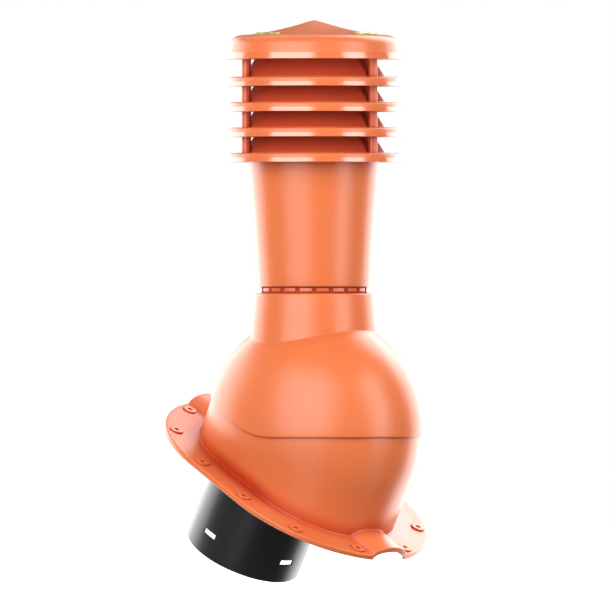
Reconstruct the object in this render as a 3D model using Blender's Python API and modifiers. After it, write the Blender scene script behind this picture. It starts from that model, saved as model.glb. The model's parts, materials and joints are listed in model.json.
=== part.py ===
"""Roof vent pipe of moulded plastic, on a ball base that tilts to suit the roof.

Metres, +Z up. The origin is on the duct's axis, in the plane of the flange's underside.
+X runs level and downhill, +Y runs level across the roof. The base is modelled in the
roof's own plane and turned to its pitch, and the vent stack stands upright on the
centre of the ball.
"""

import math

import bmesh
import bpy
from mathutils import Matrix, Vector

# Roof and tilt
ROOF_PITCH = math.radians(30.0)
TILT_RANGE = math.radians(25.0)

# Fits
TOUCH_GAP = 0.0003
BALL_GAP = 0.0011

# Flange, in the roof's plane, its underside at height 0: half-circles and straight sides
FLANGE_SHIFT = 0.037
FLANGE_HALF_STRAIGHT = 0.049
FLANGE_RADIUS = 0.146
LIP_HEIGHT = 0.0065
LIP_THICK = 0.003
PLATE_THICK = 0.003
FLOOR_HEIGHT = 0.007

# Half-round humps that run from the bowl to the flange's edge, uphill and downhill
HUMP_HALF_WIDTH = 0.029
HUMP_HEIGHT = 0.0128

# Raised screw seats, evenly spaced along an oval inside the flange's edge
SEATS_PER_QUARTER = 3
SEAT_INSET = 0.0135
SEAT_RADIUS = 0.009
SEAT_RISE = 0.002
SCREW_HOLE_RADIUS = 0.0028

# Bowl: half an ellipsoid about the ball's centre, on a wall that narrows to an oval foot
BALL_SHIFT = 0.035
BALL_HEIGHT = 0.0723
BALL_RADIUS = 0.150
BALL_HALF_WIDTH = 0.1201
BOWL_WALL = 0.003
BOWL_FOOT_RADIUS = 0.100
CROWN_RADIUS = 0.064

# Duct pipe below the roof
DUCT_RADIUS = 0.075
DUCT_WALL = 0.0025
DUCT_DROP = 0.1241
DUCT_FLANGE_REACH = 0.010
DUCT_FLANGE_THICK = 0.003
SLOT_COUNT = 4
SLOT_WIDTH = 0.022
SLOT_HEIGHT = 0.0072
SLOT_ABOVE_RIM = 0.029

# Shell that rides on the ball; its rim is level downhill and rises uphill
SHELL_WALL = 0.0022
RIM_DROP = 0.0045
RIM_RISE_ANGLE = math.radians(23.0)
RIM_BEND_X = 0.018
RIM_BEND_RADIUS = 0.130

# Collar on the shell, heights above the ball's centre
COLLAR_TOP = 0.178
COLLAR_TOP_RADIUS = 0.0757
COLLAR_DRAFT = 0.0049
COLLAR_FOOT_HEIGHT = 0.126
COLLAR_WALL = 0.004
COLLAR_LIP_ROUND = 0.003
LEDGE_REACH = 0.0065
LEDGE_THICK = 0.004

# Vent tube, with a notched spigot that seats in the collar
NECK_GAP = 0.0084
TUBE_LENGTH = 0.1581
TUBE_SETBACK = 0.0041
TUBE_FLARE = 0.0113
TUBE_FLARE_EVENNESS = 0.69
TUBE_WALL = 0.0025
SPIGOT_CLEARANCE = 0.003
SPIGOT_WALL = 0.003
SPIGOT_LENGTH = 0.030
NOTCH_COUNT = 20
NOTCH_WIDTH = 0.006
NOTCH_DEPTH = 0.0015
NOTCH_LENGTH = 0.020
HEAD_THICK = 0.003
HEAD_CLEARANCE = 0.0012

# Louvre rings
RING_COUNT = 4
RING_PITCH = 0.0322
RING_RADIUS = 0.109
RING_HEIGHT = 0.0117
RING_WALL = 0.0025
RING_ROUND = 0.0055
CONE_FOOT_RADIUS = 0.0897
CONE_SLOPE = math.radians(58.0)
CONE_HEIGHT = 0.0229
POST_CIRCLE = 0.0933
POST_RADIUS = 0.006
POST_ANGLES = (7.7, 127.7, -112.3)

# Cap
CAP_LIFT = 0.0344
CAP_RADIUS = 0.111
CAP_SHOULDER_RADIUS = 0.1075
CAP_CONE_RADIUS = 0.090
CAP_SKIRT_HEIGHT = 0.017
CAP_SHOULDER_HEIGHT = 0.0138
CAP_PEAK_HEIGHT = 0.0195
CAP_PEAK_POWER = 1.54
CAP_WALL = 0.003

# Level vials let into the cap
VIAL_ANGLES = (-90.3, 7.1)
VIAL_CIRCLE = 0.0827
VIAL_RADIUS = 0.0032
VIAL_LENGTH = 0.040
VIAL_SINK = 0.0007
VIAL_END_ROUND = 0.0012
PAD_MARGIN = 0.003
PAD_THICK = 0.0025

# Facets
ROUND_STEPS = 30
POST_STEPS = 8
VIAL_STEPS = 8
SEAT_STEPS = 8
HOLE_STEPS = 6
OUTLINE_STEPS = 36
ARC_STEPS = 3
BALL_STEPS = 30
BALL_RINGS = 18
BOWL_RINGS = 6
FLARE_STEPS = 3
OVERSHOOT = 0.010
SMOOTH_ANGLE = math.radians(35.0)

# Places worked out from the sizes above
FLANGE_END = FLANGE_HALF_STRAIGHT + FLANGE_RADIUS
PLATE_UNDERSIDE = LIP_HEIGHT - PLATE_THICK
SHELL_GROWTH = BALL_GAP + SHELL_WALL
COLLAR_BORE_RADIUS = COLLAR_TOP_RADIUS - COLLAR_WALL
COLLAR_FOOT_RADIUS = COLLAR_TOP_RADIUS + COLLAR_DRAFT
SPIGOT_RADIUS = COLLAR_BORE_RADIUS - SPIGOT_CLEARANCE
TUBE_BOTTOM_RADIUS = COLLAR_TOP_RADIUS - TUBE_SETBACK
TUBE_TOP_RADIUS = TUBE_BOTTOM_RADIUS + TUBE_FLARE
TUBE_BOTTOM = COLLAR_TOP + NECK_GAP
TUBE_TOP = TUBE_BOTTOM + TUBE_LENGTH
SPIGOT_END = TUBE_BOTTOM - SPIGOT_LENGTH
HEAD_TOP = TUBE_TOP + RING_HEIGHT - RING_WALL - TOUCH_GAP
POST_TOP = RING_PITCH + RING_HEIGHT - RING_WALL - TOUCH_GAP
CAP_BOTTOM = TUBE_TOP + (RING_COUNT - 1) * RING_PITCH + CAP_LIFT

TERRACOTTA = (0.89, 0.26, 0.10, 1.0)
BLACK = (0.022, 0.022, 0.022, 1.0)
VIAL_GREEN = (0.62, 0.66, 0.10, 1.0)


def clear_scene():
    """Remove every object that the file holds."""
    for item in list(bpy.data.objects):
        bpy.data.objects.remove(item, do_unlink=True)


def new_collection(name):
    """Make a collection in the scene."""
    collection = bpy.data.collections.new(name)
    bpy.context.scene.collection.children.link(collection)
    return collection


def plastic(name, colour, roughness):
    """Make a plain plastic material."""
    finish = bpy.data.materials.new(name)
    finish.use_nodes = True
    shader = finish.node_tree.nodes["Principled BSDF"]
    shader.inputs["Base Color"].default_value = colour
    shader.inputs["Roughness"].default_value = roughness
    shader.inputs["Metallic"].default_value = 0.0
    return finish


def add_empty(name, location, pitch=0.0):
    """Make an empty that pieces are parented to."""
    empty = bpy.data.objects.new(name, None)
    empty.location = location
    empty.rotation_euler = (0.0, pitch, 0.0)
    bpy.context.scene.collection.objects.link(empty)
    return empty


def add_piece(name, mesh, parent, location=(0.0, 0.0, 0.0), turn=(0.0, 0.0, 0.0)):
    """Link a visible piece to the model's collection."""
    piece = bpy.data.objects.new(name, mesh)
    piece.parent = parent
    piece.location = location
    piece.rotation_euler = turn
    PARTS.objects.link(piece)
    return piece


def add_guide(name, mesh, parent, location=(0.0, 0.0, 0.0)):
    """Link a solid that only cuts or joins others to the cutters' collection."""
    guide = bpy.data.objects.new(name, mesh)
    guide.parent = parent
    guide.location = location
    guide.hide_render = True
    guide.display_type = "WIRE"
    CUTTERS.objects.link(guide)
    return guide


def combine(target, operation, other):
    """Add a Boolean modifier: UNION, DIFFERENCE or INTERSECT."""
    step = target.modifiers.new(other.name, "BOOLEAN")
    step.operation = operation
    step.solver = "EXACT"
    step.object = other


def turn_profile(piece, steps=ROUND_STEPS):
    """Turn a piece's profile about its own Z axis."""
    screw = piece.modifiers.new("turn", "SCREW")
    screw.axis = "Z"
    screw.angle = math.tau
    screw.steps = steps
    screw.render_steps = steps
    screw.use_merge_vertices = True
    screw.merge_threshold = 0.00001
    screw.use_smooth_shade = True


def freeze(piece, finish):
    """Turn a piece's modifiers into its mesh, shade it and give it its material."""
    bpy.context.view_layer.update()
    evaluated = piece.evaluated_get(bpy.context.evaluated_depsgraph_get())
    mesh = bpy.data.meshes.new_from_object(evaluated)
    mesh.name = piece.name
    piece.modifiers.clear()
    piece.data = mesh
    mesh.shade_smooth()
    mesh.set_sharp_from_angle(angle=SMOOTH_ANGLE)
    mesh.materials.clear()
    mesh.materials.append(finish)


def profile_mesh(name, points, closed):
    """Make a mesh of edges through (radius, height) points, for turning."""
    mesh = bpy.data.meshes.new(name)
    edges = [(i, i + 1) for i in range(len(points) - 1)]
    if closed:
        edges.append((len(points) - 1, 0))
    mesh.from_pydata([(radius, 0.0, height) for radius, height in points], edges, [])
    return mesh


def mesh_from(bm, name):
    """Turn a bmesh into a mesh with its faces pointing out."""
    bmesh.ops.recalc_face_normals(bm, faces=bm.faces)
    mesh = bpy.data.meshes.new(name)
    bm.to_mesh(mesh)
    bm.free()
    return mesh


def loft_mesh(name, rings):
    """Make a closed solid through rings of as many points each, bottom to top."""
    bm = bmesh.new()
    loops = [[bm.verts.new(point) for point in ring] for ring in rings]
    count = len(loops[0])
    for low, high in zip(loops, loops[1:]):
        for i in range(count):
            j = (i + 1) % count
            bm.faces.new((low[i], low[j], high[j], high[i]))
    bm.faces.new(loops[0])
    bm.faces.new(loops[-1])
    return mesh_from(bm, name)


def prism_mesh(name, outlines, run):
    """Extrude flat outlines along a vector, each into a closed solid."""
    bm = bmesh.new()
    for outline in outlines:
        face = bm.faces.new([bm.verts.new(point) for point in outline])
        grown = bmesh.ops.extrude_face_region(bm, geom=[face])
        moved = [item for item in grown["geom"] if isinstance(item, bmesh.types.BMVert)]
        bmesh.ops.translate(bm, verts=moved, vec=run)
    return mesh_from(bm, name)


def cylinders_mesh(name, places, radius, low, high, steps):
    """Make upright cylinders at several (x, y) places."""
    bm = bmesh.new()
    for x, y in places:
        middle = Matrix.Translation((x, y, (low + high) / 2))
        bmesh.ops.create_cone(bm, cap_ends=True, segments=steps, radius1=radius,
                              radius2=radius, depth=high - low, matrix=middle)
    return mesh_from(bm, name)


def boxes_mesh(name, size, matrices):
    """Make boxes of one size at several places."""
    bm = bmesh.new()
    for matrix in matrices:
        bmesh.ops.create_cube(bm, size=1.0, matrix=matrix @ Matrix.Diagonal((*size, 1.0)))
    return mesh_from(bm, name)


def oval_ring(centre, half_straight, radii, height):
    """Ring of an oval: two half-ellipses, parted by a straight stretch along the roof's fall."""
    ring = []
    for i in range(OUTLINE_STEPS):
        angle = math.tau * (i + 0.5) / OUTLINE_STEPS
        x = math.copysign(half_straight, math.cos(angle)) + radii[0] * math.cos(angle)
        ring.append(Vector((centre + x, radii[1] * math.sin(angle), height)))
    return ring


def flange_ring(inset, height):
    """Ring at an even distance inside the flange's edge."""
    radius = FLANGE_RADIUS - inset
    return oval_ring(FLANGE_SHIFT, FLANGE_HALF_STRAIGHT, (radius, radius), height)


def arc(centre, radii, start, end, steps=ARC_STEPS):
    """Points along an elliptical arc, both ends included, angles in radians."""
    angles = [start + (end - start) * i / steps for i in range(steps + 1)]
    return [(centre[0] + radii[0] * math.cos(a), centre[1] + radii[1] * math.sin(a)) for a in angles]


def seat_centres():
    """Centres of the screw seats: those of one quarter, mirrored to the others."""
    radius = FLANGE_RADIUS - SEAT_INSET
    bend = radius * math.pi / 2
    centres = []
    for i in range(SEATS_PER_QUARTER):
        run = (bend + FLANGE_HALF_STRAIGHT) * (i + 0.5) / SEATS_PER_QUARTER
        angle = min(run, bend) / radius
        x = FLANGE_HALF_STRAIGHT + radius * math.cos(angle) - max(0.0, run - bend)
        y = radius * math.sin(angle)
        centres += [(FLANGE_SHIFT + side_x * x, side_y * y) for side_x in (1, -1) for side_y in (1, -1)]
    return centres


def bowl_section(height, inset):
    """Ring of the bowl at a height: the wall below the ball's centre, the ball above."""
    length = BALL_RADIUS - inset
    width = BALL_HALF_WIDTH - inset
    if height >= BALL_HEIGHT:
        scale = math.sqrt(max(0.0, 1.0 - ((height - BALL_HEIGHT) / length) ** 2))
        return oval_ring(BALL_SHIFT, 0.0, (length * scale, width * scale), height)
    share = (BALL_HEIGHT - height) / BALL_HEIGHT
    foot = BOWL_FOOT_RADIUS - inset
    radii = (length + (foot - length) * share, width + (foot - width) * share)
    centre = BALL_SHIFT + (FLANGE_SHIFT - BALL_SHIFT) * share
    return oval_ring(centre, FLANGE_HALF_STRAIGHT * share, radii, height)


def bowl_mesh(name, start, inset):
    """Solid of the bowl, from a start height to near its crown."""
    heights = [start, (start + BALL_HEIGHT) / 2]
    for i in range(BOWL_RINGS):
        heights.append(BALL_HEIGHT + (BALL_RADIUS - inset) * math.sin(math.pi / 2 * i / BOWL_RINGS))
    return loft_mesh(name, [bowl_section(height, inset) for height in heights])


def arch_outline(half_width, height, base, floor):
    """Half-ellipse standing on a base height, with its legs run down to a floor."""
    crest = arc((0.0, base), (half_width, height), 0.0, math.pi, 3 * ARC_STEPS)
    return [(half_width, floor)] + crest + [(-half_width, floor)]


def arch_pair_mesh(name, outline, start, end):
    """Extrude an arch along the roof's fall, once uphill and once downhill."""
    faces = []
    for side in (1, -1):
        x = FLANGE_SHIFT + (start if side > 0 else -end)
        faces.append([Vector((x, y, z)) for y, z in outline])
    return prism_mesh(name, faces, Vector((end - start, 0.0, 0.0)))


def crown_mesh():
    """Fan-shaped cutter for the crown, wide enough for the tube at every tilt."""
    centre = Vector((BALL_SHIFT, 0.0, BALL_HEIGHT))
    bm = bmesh.new()
    for lean in (-ROOF_PITCH, TILT_RANGE - ROOF_PITCH):
        along = Vector((math.sin(lean), 0.0, math.cos(lean)))
        side = Vector((math.cos(lean), 0.0, -math.sin(lean)))
        for distance in (BALL_RADIUS / 2, BALL_RADIUS + OVERSHOOT):
            for i in range(ROUND_STEPS):
                a = math.tau * i / ROUND_STEPS
                across = side * math.cos(a) + Vector((0.0, math.sin(a), 0.0))
                bm.verts.new(centre + along * distance + across * CROWN_RADIUS)
    hull = bmesh.ops.convex_hull(bm, input=bm.verts)
    loose = [v for v in hull["geom_interior"] if isinstance(v, bmesh.types.BMVert)]
    bmesh.ops.delete(bm, geom=loose, context="VERTS")
    return mesh_from(bm, "crown_opening")


def slab_outline():
    """Flange in section across the fall: a flat slab with the hump's arch on it."""
    side = FLANGE_RADIUS + OVERSHOOT
    crest = arc((0.0, LIP_HEIGHT), (HUMP_HALF_WIDTH, HUMP_HEIGHT), 0.0, math.pi, 3 * ARC_STEPS)
    return [(side, 0.0), (side, LIP_HEIGHT)] + crest + [(-side, LIP_HEIGHT), (-side, 0.0)]


def build_flange(roof, finish):
    """Flange, humps, screw seats and bowl: one moulding."""
    top = LIP_HEIGHT + HUMP_HEIGHT + OVERSHOOT
    end = FLANGE_END + OVERSHOOT
    slab = [Vector((FLANGE_SHIFT - end, y, z)) for y, z in slab_outline()]
    base = add_piece("roof_flange", prism_mesh("slab", [slab], Vector((2 * end, 0.0, 0.0))), roof)

    outline = loft_mesh("flange_outline", [flange_ring(0.0, -OVERSHOOT), flange_ring(0.0, top)])
    combine(base, "INTERSECT", add_guide("flange_outline", outline, roof))
    bowl = bowl_mesh("bowl_outside", (PLATE_UNDERSIDE + LIP_HEIGHT) / 2, 0.0)
    combine(base, "UNION", add_guide("bowl_outside", bowl, roof))

    underside = loft_mesh("flange_underside", [
        flange_ring(LIP_THICK, -OVERSHOOT), flange_ring(LIP_THICK, PLATE_UNDERSIDE)])
    combine(base, "DIFFERENCE", add_guide("flange_underside", underside, roof))

    hollow_width = HUMP_HALF_WIDTH - LIP_THICK
    lip_inside = FLANGE_HALF_STRAIGHT + math.sqrt(FLANGE_RADIUS ** 2 - hollow_width ** 2) - LIP_THICK
    hollow = arch_outline(hollow_width, HUMP_HEIGHT, PLATE_UNDERSIDE, PLATE_UNDERSIDE / 2)
    hollows = arch_pair_mesh("hump_hollows", hollow, BALL_RADIUS, lip_inside)
    combine(base, "DIFFERENCE", add_guide("hump_hollows", hollows, roof))
    mouth = arch_outline(HUMP_HALF_WIDTH - LIP_THICK / 2, HUMP_HEIGHT, 0.0, -OVERSHOOT)
    mouths = arch_pair_mesh("hump_mouths", mouth, lip_inside - LIP_THICK, end)
    combine(base, "DIFFERENCE", add_guide("hump_mouths", mouths, roof))

    seats = cylinders_mesh("screw_seats", seat_centres(), SEAT_RADIUS, 0.0,
                           LIP_HEIGHT + SEAT_RISE, SEAT_STEPS)
    combine(base, "UNION", add_guide("screw_seats", seats, roof))
    holes = cylinders_mesh("screw_holes", seat_centres(), SCREW_HOLE_RADIUS, -OVERSHOOT,
                           LIP_HEIGHT + OVERSHOOT, HOLE_STEPS)
    combine(base, "DIFFERENCE", add_guide("screw_holes", holes, roof))

    cavity = bowl_mesh("bowl_inside", FLOOR_HEIGHT, BOWL_WALL)
    combine(base, "DIFFERENCE", add_guide("bowl_inside", cavity, roof))
    duct_hole = cylinders_mesh("duct_hole", [(0.0, 0.0)], DUCT_RADIUS + 2 * TOUCH_GAP,
                               -OVERSHOOT, FLOOR_HEIGHT + OVERSHOOT, ROUND_STEPS)
    combine(base, "DIFFERENCE", add_guide("duct_hole", duct_hole, roof))
    combine(base, "DIFFERENCE", add_guide("crown_opening", crown_mesh(), roof))
    freeze(base, finish)


def build_duct(roof, finish):
    """Black duct pipe: a flange that sits on the bowl's floor, a round wall and slots."""
    seat = FLOOR_HEIGHT + TOUCH_GAP
    flange_top = seat + DUCT_FLANGE_THICK
    rim = -DUCT_DROP
    profile = [
        (DUCT_RADIUS + DUCT_FLANGE_REACH, flange_top),
        (DUCT_RADIUS + DUCT_FLANGE_REACH, seat),
        (DUCT_RADIUS, seat),
        (DUCT_RADIUS, rim),
        (DUCT_RADIUS - DUCT_WALL, rim),
        (DUCT_RADIUS - DUCT_WALL, flange_top)]
    duct = add_piece("duct_pipe", profile_mesh("duct_pipe", profile, True), roof)
    turn_profile(duct)

    places = []
    for i in range(SLOT_COUNT):
        spot = Matrix.Translation((DUCT_RADIUS, 0.0, rim + SLOT_ABOVE_RIM))
        places.append(Matrix.Rotation(math.tau * i / SLOT_COUNT, 4, "Z") @ spot)
    slots = boxes_mesh("duct_slots", (6 * DUCT_WALL, SLOT_WIDTH, SLOT_HEIGHT), places)
    combine(duct, "DIFFERENCE", add_guide("duct_slots", slots, roof))
    freeze(duct, finish)


def ball_mesh(name, growth):
    """Ellipsoid about the ball's centre, round about the tilt axis Y, its facets outside it."""
    bm = bmesh.new()
    radius = (BALL_RADIUS + growth) / math.cos(math.pi / BALL_STEPS)
    size = Matrix.Diagonal((radius, BALL_HALF_WIDTH + growth, radius, 1.0))
    lay = Matrix.Rotation(math.pi / 2, 4, "X")
    bmesh.ops.create_uvsphere(bm, u_segments=BALL_STEPS, v_segments=BALL_RINGS, radius=1.0,
                              matrix=size @ lay)
    return mesh_from(bm, name)


def rim_mesh():
    """Cutter for all of the ball below the shell's rim, extruded along the tilt axis."""
    reach = BALL_RADIUS + SHELL_GROWTH + OVERSHOOT
    tangent = RIM_BEND_RADIUS * math.tan(RIM_RISE_ANGLE / 2)
    centre = (RIM_BEND_X + tangent, RIM_BEND_RADIUS - RIM_DROP)
    bend = arc(centre, (RIM_BEND_RADIUS, RIM_BEND_RADIUS), -math.pi / 2, -math.pi / 2 - RIM_RISE_ANGLE)
    rise = math.tan(RIM_RISE_ANGLE) * (RIM_BEND_X + reach) - RIM_DROP
    outline = [(reach, -RIM_DROP)] + bend + [(-reach, rise), (-reach, -reach), (reach, -reach)]
    face = [Vector((x, -reach, z)) for x, z in outline]
    return prism_mesh("shell_rim", [face], Vector((0.0, 2 * reach, 0.0)))


def build_shell(joint, finish):
    """Shell on the ball, with its collar."""
    shell = add_piece("ball_shell", ball_mesh("ball_shell", SHELL_GROWTH), joint)

    slope = (COLLAR_FOOT_RADIUS - COLLAR_TOP_RADIUS) / (COLLAR_TOP - COLLAR_FOOT_HEIGHT)
    low = BALL_RADIUS / 2
    lip = arc((COLLAR_TOP_RADIUS - COLLAR_LIP_ROUND, COLLAR_TOP - COLLAR_LIP_ROUND),
              (COLLAR_LIP_ROUND, COLLAR_LIP_ROUND), math.pi / 2, 0.0)
    foot = [(COLLAR_FOOT_RADIUS, COLLAR_FOOT_HEIGHT),
            (COLLAR_FOOT_RADIUS + slope * (COLLAR_FOOT_HEIGHT - low), low)]
    collar = add_guide("collar_outside", profile_mesh(
        "collar_outside", [(0.0, COLLAR_TOP)] + lip + foot + [(0.0, low)], False), joint)
    turn_profile(collar)
    combine(shell, "UNION", collar)
    combine(shell, "DIFFERENCE", add_guide("shell_inside", ball_mesh("shell_inside", BALL_GAP), joint))

    ledge_top = SPIGOT_END - TOUCH_GAP
    ledge_radius = COLLAR_BORE_RADIUS - LEDGE_REACH
    bore = add_guide("collar_bore", profile_mesh("collar_bore", [
        (0.0, COLLAR_TOP + OVERSHOOT), (COLLAR_BORE_RADIUS, COLLAR_TOP + OVERSHOOT),
        (COLLAR_BORE_RADIUS, ledge_top), (ledge_radius, ledge_top),
        (ledge_radius, ledge_top - LEDGE_THICK),
        (COLLAR_BORE_RADIUS + LEDGE_THICK, ledge_top - 2 * LEDGE_THICK),
        (COLLAR_BORE_RADIUS + LEDGE_THICK, low), (0.0, low)], False), joint)
    turn_profile(bore)
    combine(shell, "DIFFERENCE", bore)
    combine(shell, "DIFFERENCE", add_guide("shell_rim", rim_mesh(), joint))
    freeze(shell, finish)


def tube_radius(height):
    """Outer radius of the tube, which flares a little faster towards its top."""
    share = (height - TUBE_BOTTOM) / TUBE_LENGTH
    flare = share * (TUBE_FLARE_EVENNESS + (1.0 - TUBE_FLARE_EVENNESS) * share)
    return TUBE_BOTTOM_RADIUS + (TUBE_TOP_RADIUS - TUBE_BOTTOM_RADIUS) * flare


def build_tube(joint, finish):
    """Vent tube: notched spigot, flared wall and a head that carries the lowest ring."""
    head_radius = RING_RADIUS - RING_ROUND - HEAD_CLEARANCE
    head_under = HEAD_TOP - HEAD_THICK
    shares = [i / FLARE_STEPS for i in range(FLARE_STEPS + 1)]
    outside = [(tube_radius(z), z)
               for z in (head_under + (TUBE_BOTTOM - head_under) * s for s in shares)]
    step_top = TUBE_BOTTOM + TUBE_WALL + SPIGOT_WALL
    inside = [(tube_radius(z) - TUBE_WALL, z)
              for z in (step_top + (HEAD_TOP - step_top) * s for s in shares)]
    spigot_bore = SPIGOT_RADIUS - SPIGOT_WALL
    profile = [(head_radius, HEAD_TOP), (head_radius, head_under)] + outside + [
        (SPIGOT_RADIUS, TUBE_BOTTOM), (SPIGOT_RADIUS, SPIGOT_END), (spigot_bore, SPIGOT_END),
        (spigot_bore, TUBE_BOTTOM + TUBE_WALL)] + inside
    tube = add_piece("vent_tube", profile_mesh("vent_tube", profile, True), joint)
    turn_profile(tube)

    places = []
    for i in range(NOTCH_COUNT):
        spot = Matrix.Translation((SPIGOT_RADIUS, 0.0, TUBE_BOTTOM - NOTCH_LENGTH / 2))
        places.append(Matrix.Rotation(math.tau * (i + 0.5) / NOTCH_COUNT, 4, "Z") @ spot)
    notches = boxes_mesh("spigot_notches", (2 * NOTCH_DEPTH, NOTCH_WIDTH, NOTCH_LENGTH), places)
    combine(tube, "DIFFERENCE", add_guide("spigot_notches", notches, joint))
    freeze(tube, finish)


def post_places():
    """Centres of the three posts."""
    return [(POST_CIRCLE * math.cos(math.radians(a)), POST_CIRCLE * math.sin(math.radians(a)))
            for a in POST_ANGLES]


def ring_profile():
    """Louvre ring: rounded brim, open below, and a cone that leans in behind the next ring."""
    lean = 1.0 / math.tan(CONE_SLOPE)
    thick = RING_WALL / math.sin(CONE_SLOPE)
    brim_under = RING_HEIGHT - RING_WALL
    round_z = RING_HEIGHT - RING_ROUND
    round_r = RING_RADIUS - RING_ROUND
    cone_top = RING_HEIGHT + CONE_HEIGHT
    profile = [(CONE_FOOT_RADIUS - CONE_HEIGHT * lean, cone_top), (CONE_FOOT_RADIUS, RING_HEIGHT)]
    profile += arc((round_r, round_z), (RING_ROUND, RING_ROUND), math.pi / 2, 0.0, 2)
    profile += [(RING_RADIUS, 0.0), (RING_RADIUS - RING_WALL, 0.0)]
    profile += [(RING_RADIUS - RING_WALL, round_z), (round_r, brim_under)]
    profile += [(CONE_FOOT_RADIUS + RING_WALL * lean - thick, brim_under),
                (CONE_FOOT_RADIUS - CONE_HEIGHT * lean - thick, cone_top)]
    return profile


def build_rings(joint, finish):
    """Four like rings, each with three posts that reach up to the underside of the next."""
    posts = cylinders_mesh("ring_posts", post_places(), POST_RADIUS, RING_HEIGHT - RING_WALL / 2,
                           POST_TOP, POST_STEPS)
    for i in range(RING_COUNT):
        place = (0.0, 0.0, TUBE_TOP + i * RING_PITCH)
        ring = add_piece(f"louvre_ring_{i + 1}", profile_mesh("louvre_ring", ring_profile(), True),
                         joint, place)
        turn_profile(ring)
        combine(ring, "UNION", add_guide(f"ring_posts_{i + 1}", posts, joint, place))
        freeze(ring, finish)


def cap_height(radius):
    """Height of the cap's top above its bottom edge, out to its shoulder."""
    share = max(0.0, 1.0 - radius / CAP_CONE_RADIUS)
    return CAP_SKIRT_HEIGHT + CAP_SHOULDER_HEIGHT + CAP_PEAK_HEIGHT * share ** CAP_PEAK_POWER


def cap_profile():
    """Cap: a hollow peak, a rounded shoulder and a flared skirt."""
    radii = [CAP_CONE_RADIUS * i / FLARE_STEPS for i in range(FLARE_STEPS)]
    centre = (CAP_CONE_RADIUS, CAP_SKIRT_HEIGHT)
    outer = (CAP_SHOULDER_RADIUS - CAP_CONE_RADIUS, CAP_SHOULDER_HEIGHT)
    inner = (outer[0] - CAP_WALL, outer[1] - CAP_WALL)
    profile = [(radius, cap_height(radius)) for radius in radii]
    profile += arc(centre, outer, math.pi / 2, 0.0)
    profile += [(CAP_RADIUS, 0.0), (CAP_RADIUS - CAP_WALL, 0.0)]
    profile += arc(centre, inner, 0.0, math.pi / 2, 2)
    profile += [(radius, cap_height(radius) - CAP_WALL) for radius in reversed(radii)]
    return profile


def vial_matrix(degrees, height):
    """Place on the cap at a vial's angle, X pointing out and Y along the vial."""
    turn = Matrix.Rotation(math.radians(degrees), 4, "Z")
    return turn @ Matrix.Translation((VIAL_CIRCLE, 0.0, height))


def build_cap(joint, finish):
    """Cap, with bosses over the posts and a pocket for each vial."""
    place = (0.0, 0.0, CAP_BOTTOM)
    cap = add_piece("cap", profile_mesh("cap", cap_profile(), False), joint, place)
    turn_profile(cap)

    post_end = TUBE_TOP + (RING_COUNT - 1) * RING_PITCH + POST_TOP - CAP_BOTTOM
    boss_top = CAP_SKIRT_HEIGHT + CAP_SHOULDER_HEIGHT - CAP_WALL / 2
    bosses = cylinders_mesh("cap_bosses", post_places(), POST_RADIUS, post_end + TOUCH_GAP,
                            boss_top, POST_STEPS)
    combine(cap, "UNION", add_guide("cap_bosses", bosses, joint, place))

    pocket_radius = VIAL_RADIUS + TOUCH_GAP
    pocket_length = VIAL_LENGTH + 2 * TOUCH_GAP
    centre = cap_height(VIAL_CIRCLE) - VIAL_SINK
    pad_top = cap_height(VIAL_CIRCLE) - CAP_WALL / 2
    pad_low = centre - pocket_radius - PAD_THICK
    pad_size = (2 * (pocket_radius + PAD_MARGIN), pocket_length + 2 * PAD_MARGIN, pad_top - pad_low)
    spots = [vial_matrix(a, (pad_top + pad_low) / 2) for a in VIAL_ANGLES]
    pads = boxes_mesh("vial_pads", pad_size, spots)
    combine(cap, "UNION", add_guide("vial_pads", pads, joint, place))

    bm = bmesh.new()
    for angle in VIAL_ANGLES:
        lay = vial_matrix(angle, centre) @ Matrix.Rotation(math.pi / 2, 4, "X")
        bmesh.ops.create_cone(bm, cap_ends=True, segments=VIAL_STEPS, radius1=pocket_radius,
                              radius2=pocket_radius, depth=pocket_length, matrix=lay)
    combine(cap, "DIFFERENCE", add_guide("vial_pockets", mesh_from(bm, "vial_pockets"), joint, place))
    freeze(cap, finish)
    return CAP_BOTTOM + centre


def build_vials(joint, height, finish):
    """Two level vials that lie across the cap's slope."""
    half = VIAL_LENGTH / 2
    flat = VIAL_RADIUS - VIAL_END_ROUND
    profile = [(0.0, half), (flat, half), (VIAL_RADIUS, half - VIAL_END_ROUND),
               (VIAL_RADIUS, VIAL_END_ROUND - half), (flat, -half), (0.0, -half)]
    for i, degrees in enumerate(VIAL_ANGLES):
        angle = math.radians(degrees)
        place = (VIAL_CIRCLE * math.cos(angle), VIAL_CIRCLE * math.sin(angle), height)
        vial = add_piece(f"level_vial_{i + 1}", profile_mesh("level_vial", profile, False), joint,
                         place, (math.pi / 2, 0.0, angle))
        turn_profile(vial, VIAL_STEPS)
        freeze(vial, finish)


clear_scene()
PARTS = new_collection("roof_vent_pipe")
CUTTERS = new_collection("cutters")

orange = plastic("terracotta_plastic", TERRACOTTA, 0.42)
black = plastic("black_plastic", BLACK, 0.45)
green = plastic("vial_fluid", VIAL_GREEN, 0.10)

roof_plane = add_empty("roof_plane", (0.0, 0.0, 0.0), ROOF_PITCH)
ball_centre = Matrix.Rotation(ROOF_PITCH, 4, "Y") @ Vector((BALL_SHIFT, 0.0, BALL_HEIGHT))
ball_joint = add_empty("ball_joint", ball_centre)

build_flange(roof_plane, orange)
build_duct(roof_plane, black)
build_shell(ball_joint, orange)
build_tube(ball_joint, orange)
build_rings(ball_joint, orange)
vial_height = build_cap(ball_joint, orange)
build_vials(ball_joint, vial_height, green)
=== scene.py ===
"""Looks of the roof vent pipe: fine meshes, finishes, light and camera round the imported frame.

Lengths are metres in the frame's own axes: +X level and downhill, +Y level across the roof, +Z up.
The base's sizes are in the roof's plane, which ROOF_TURN lays at its pitch. The stack's heights
count from the centre of the ball.
"""

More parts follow.
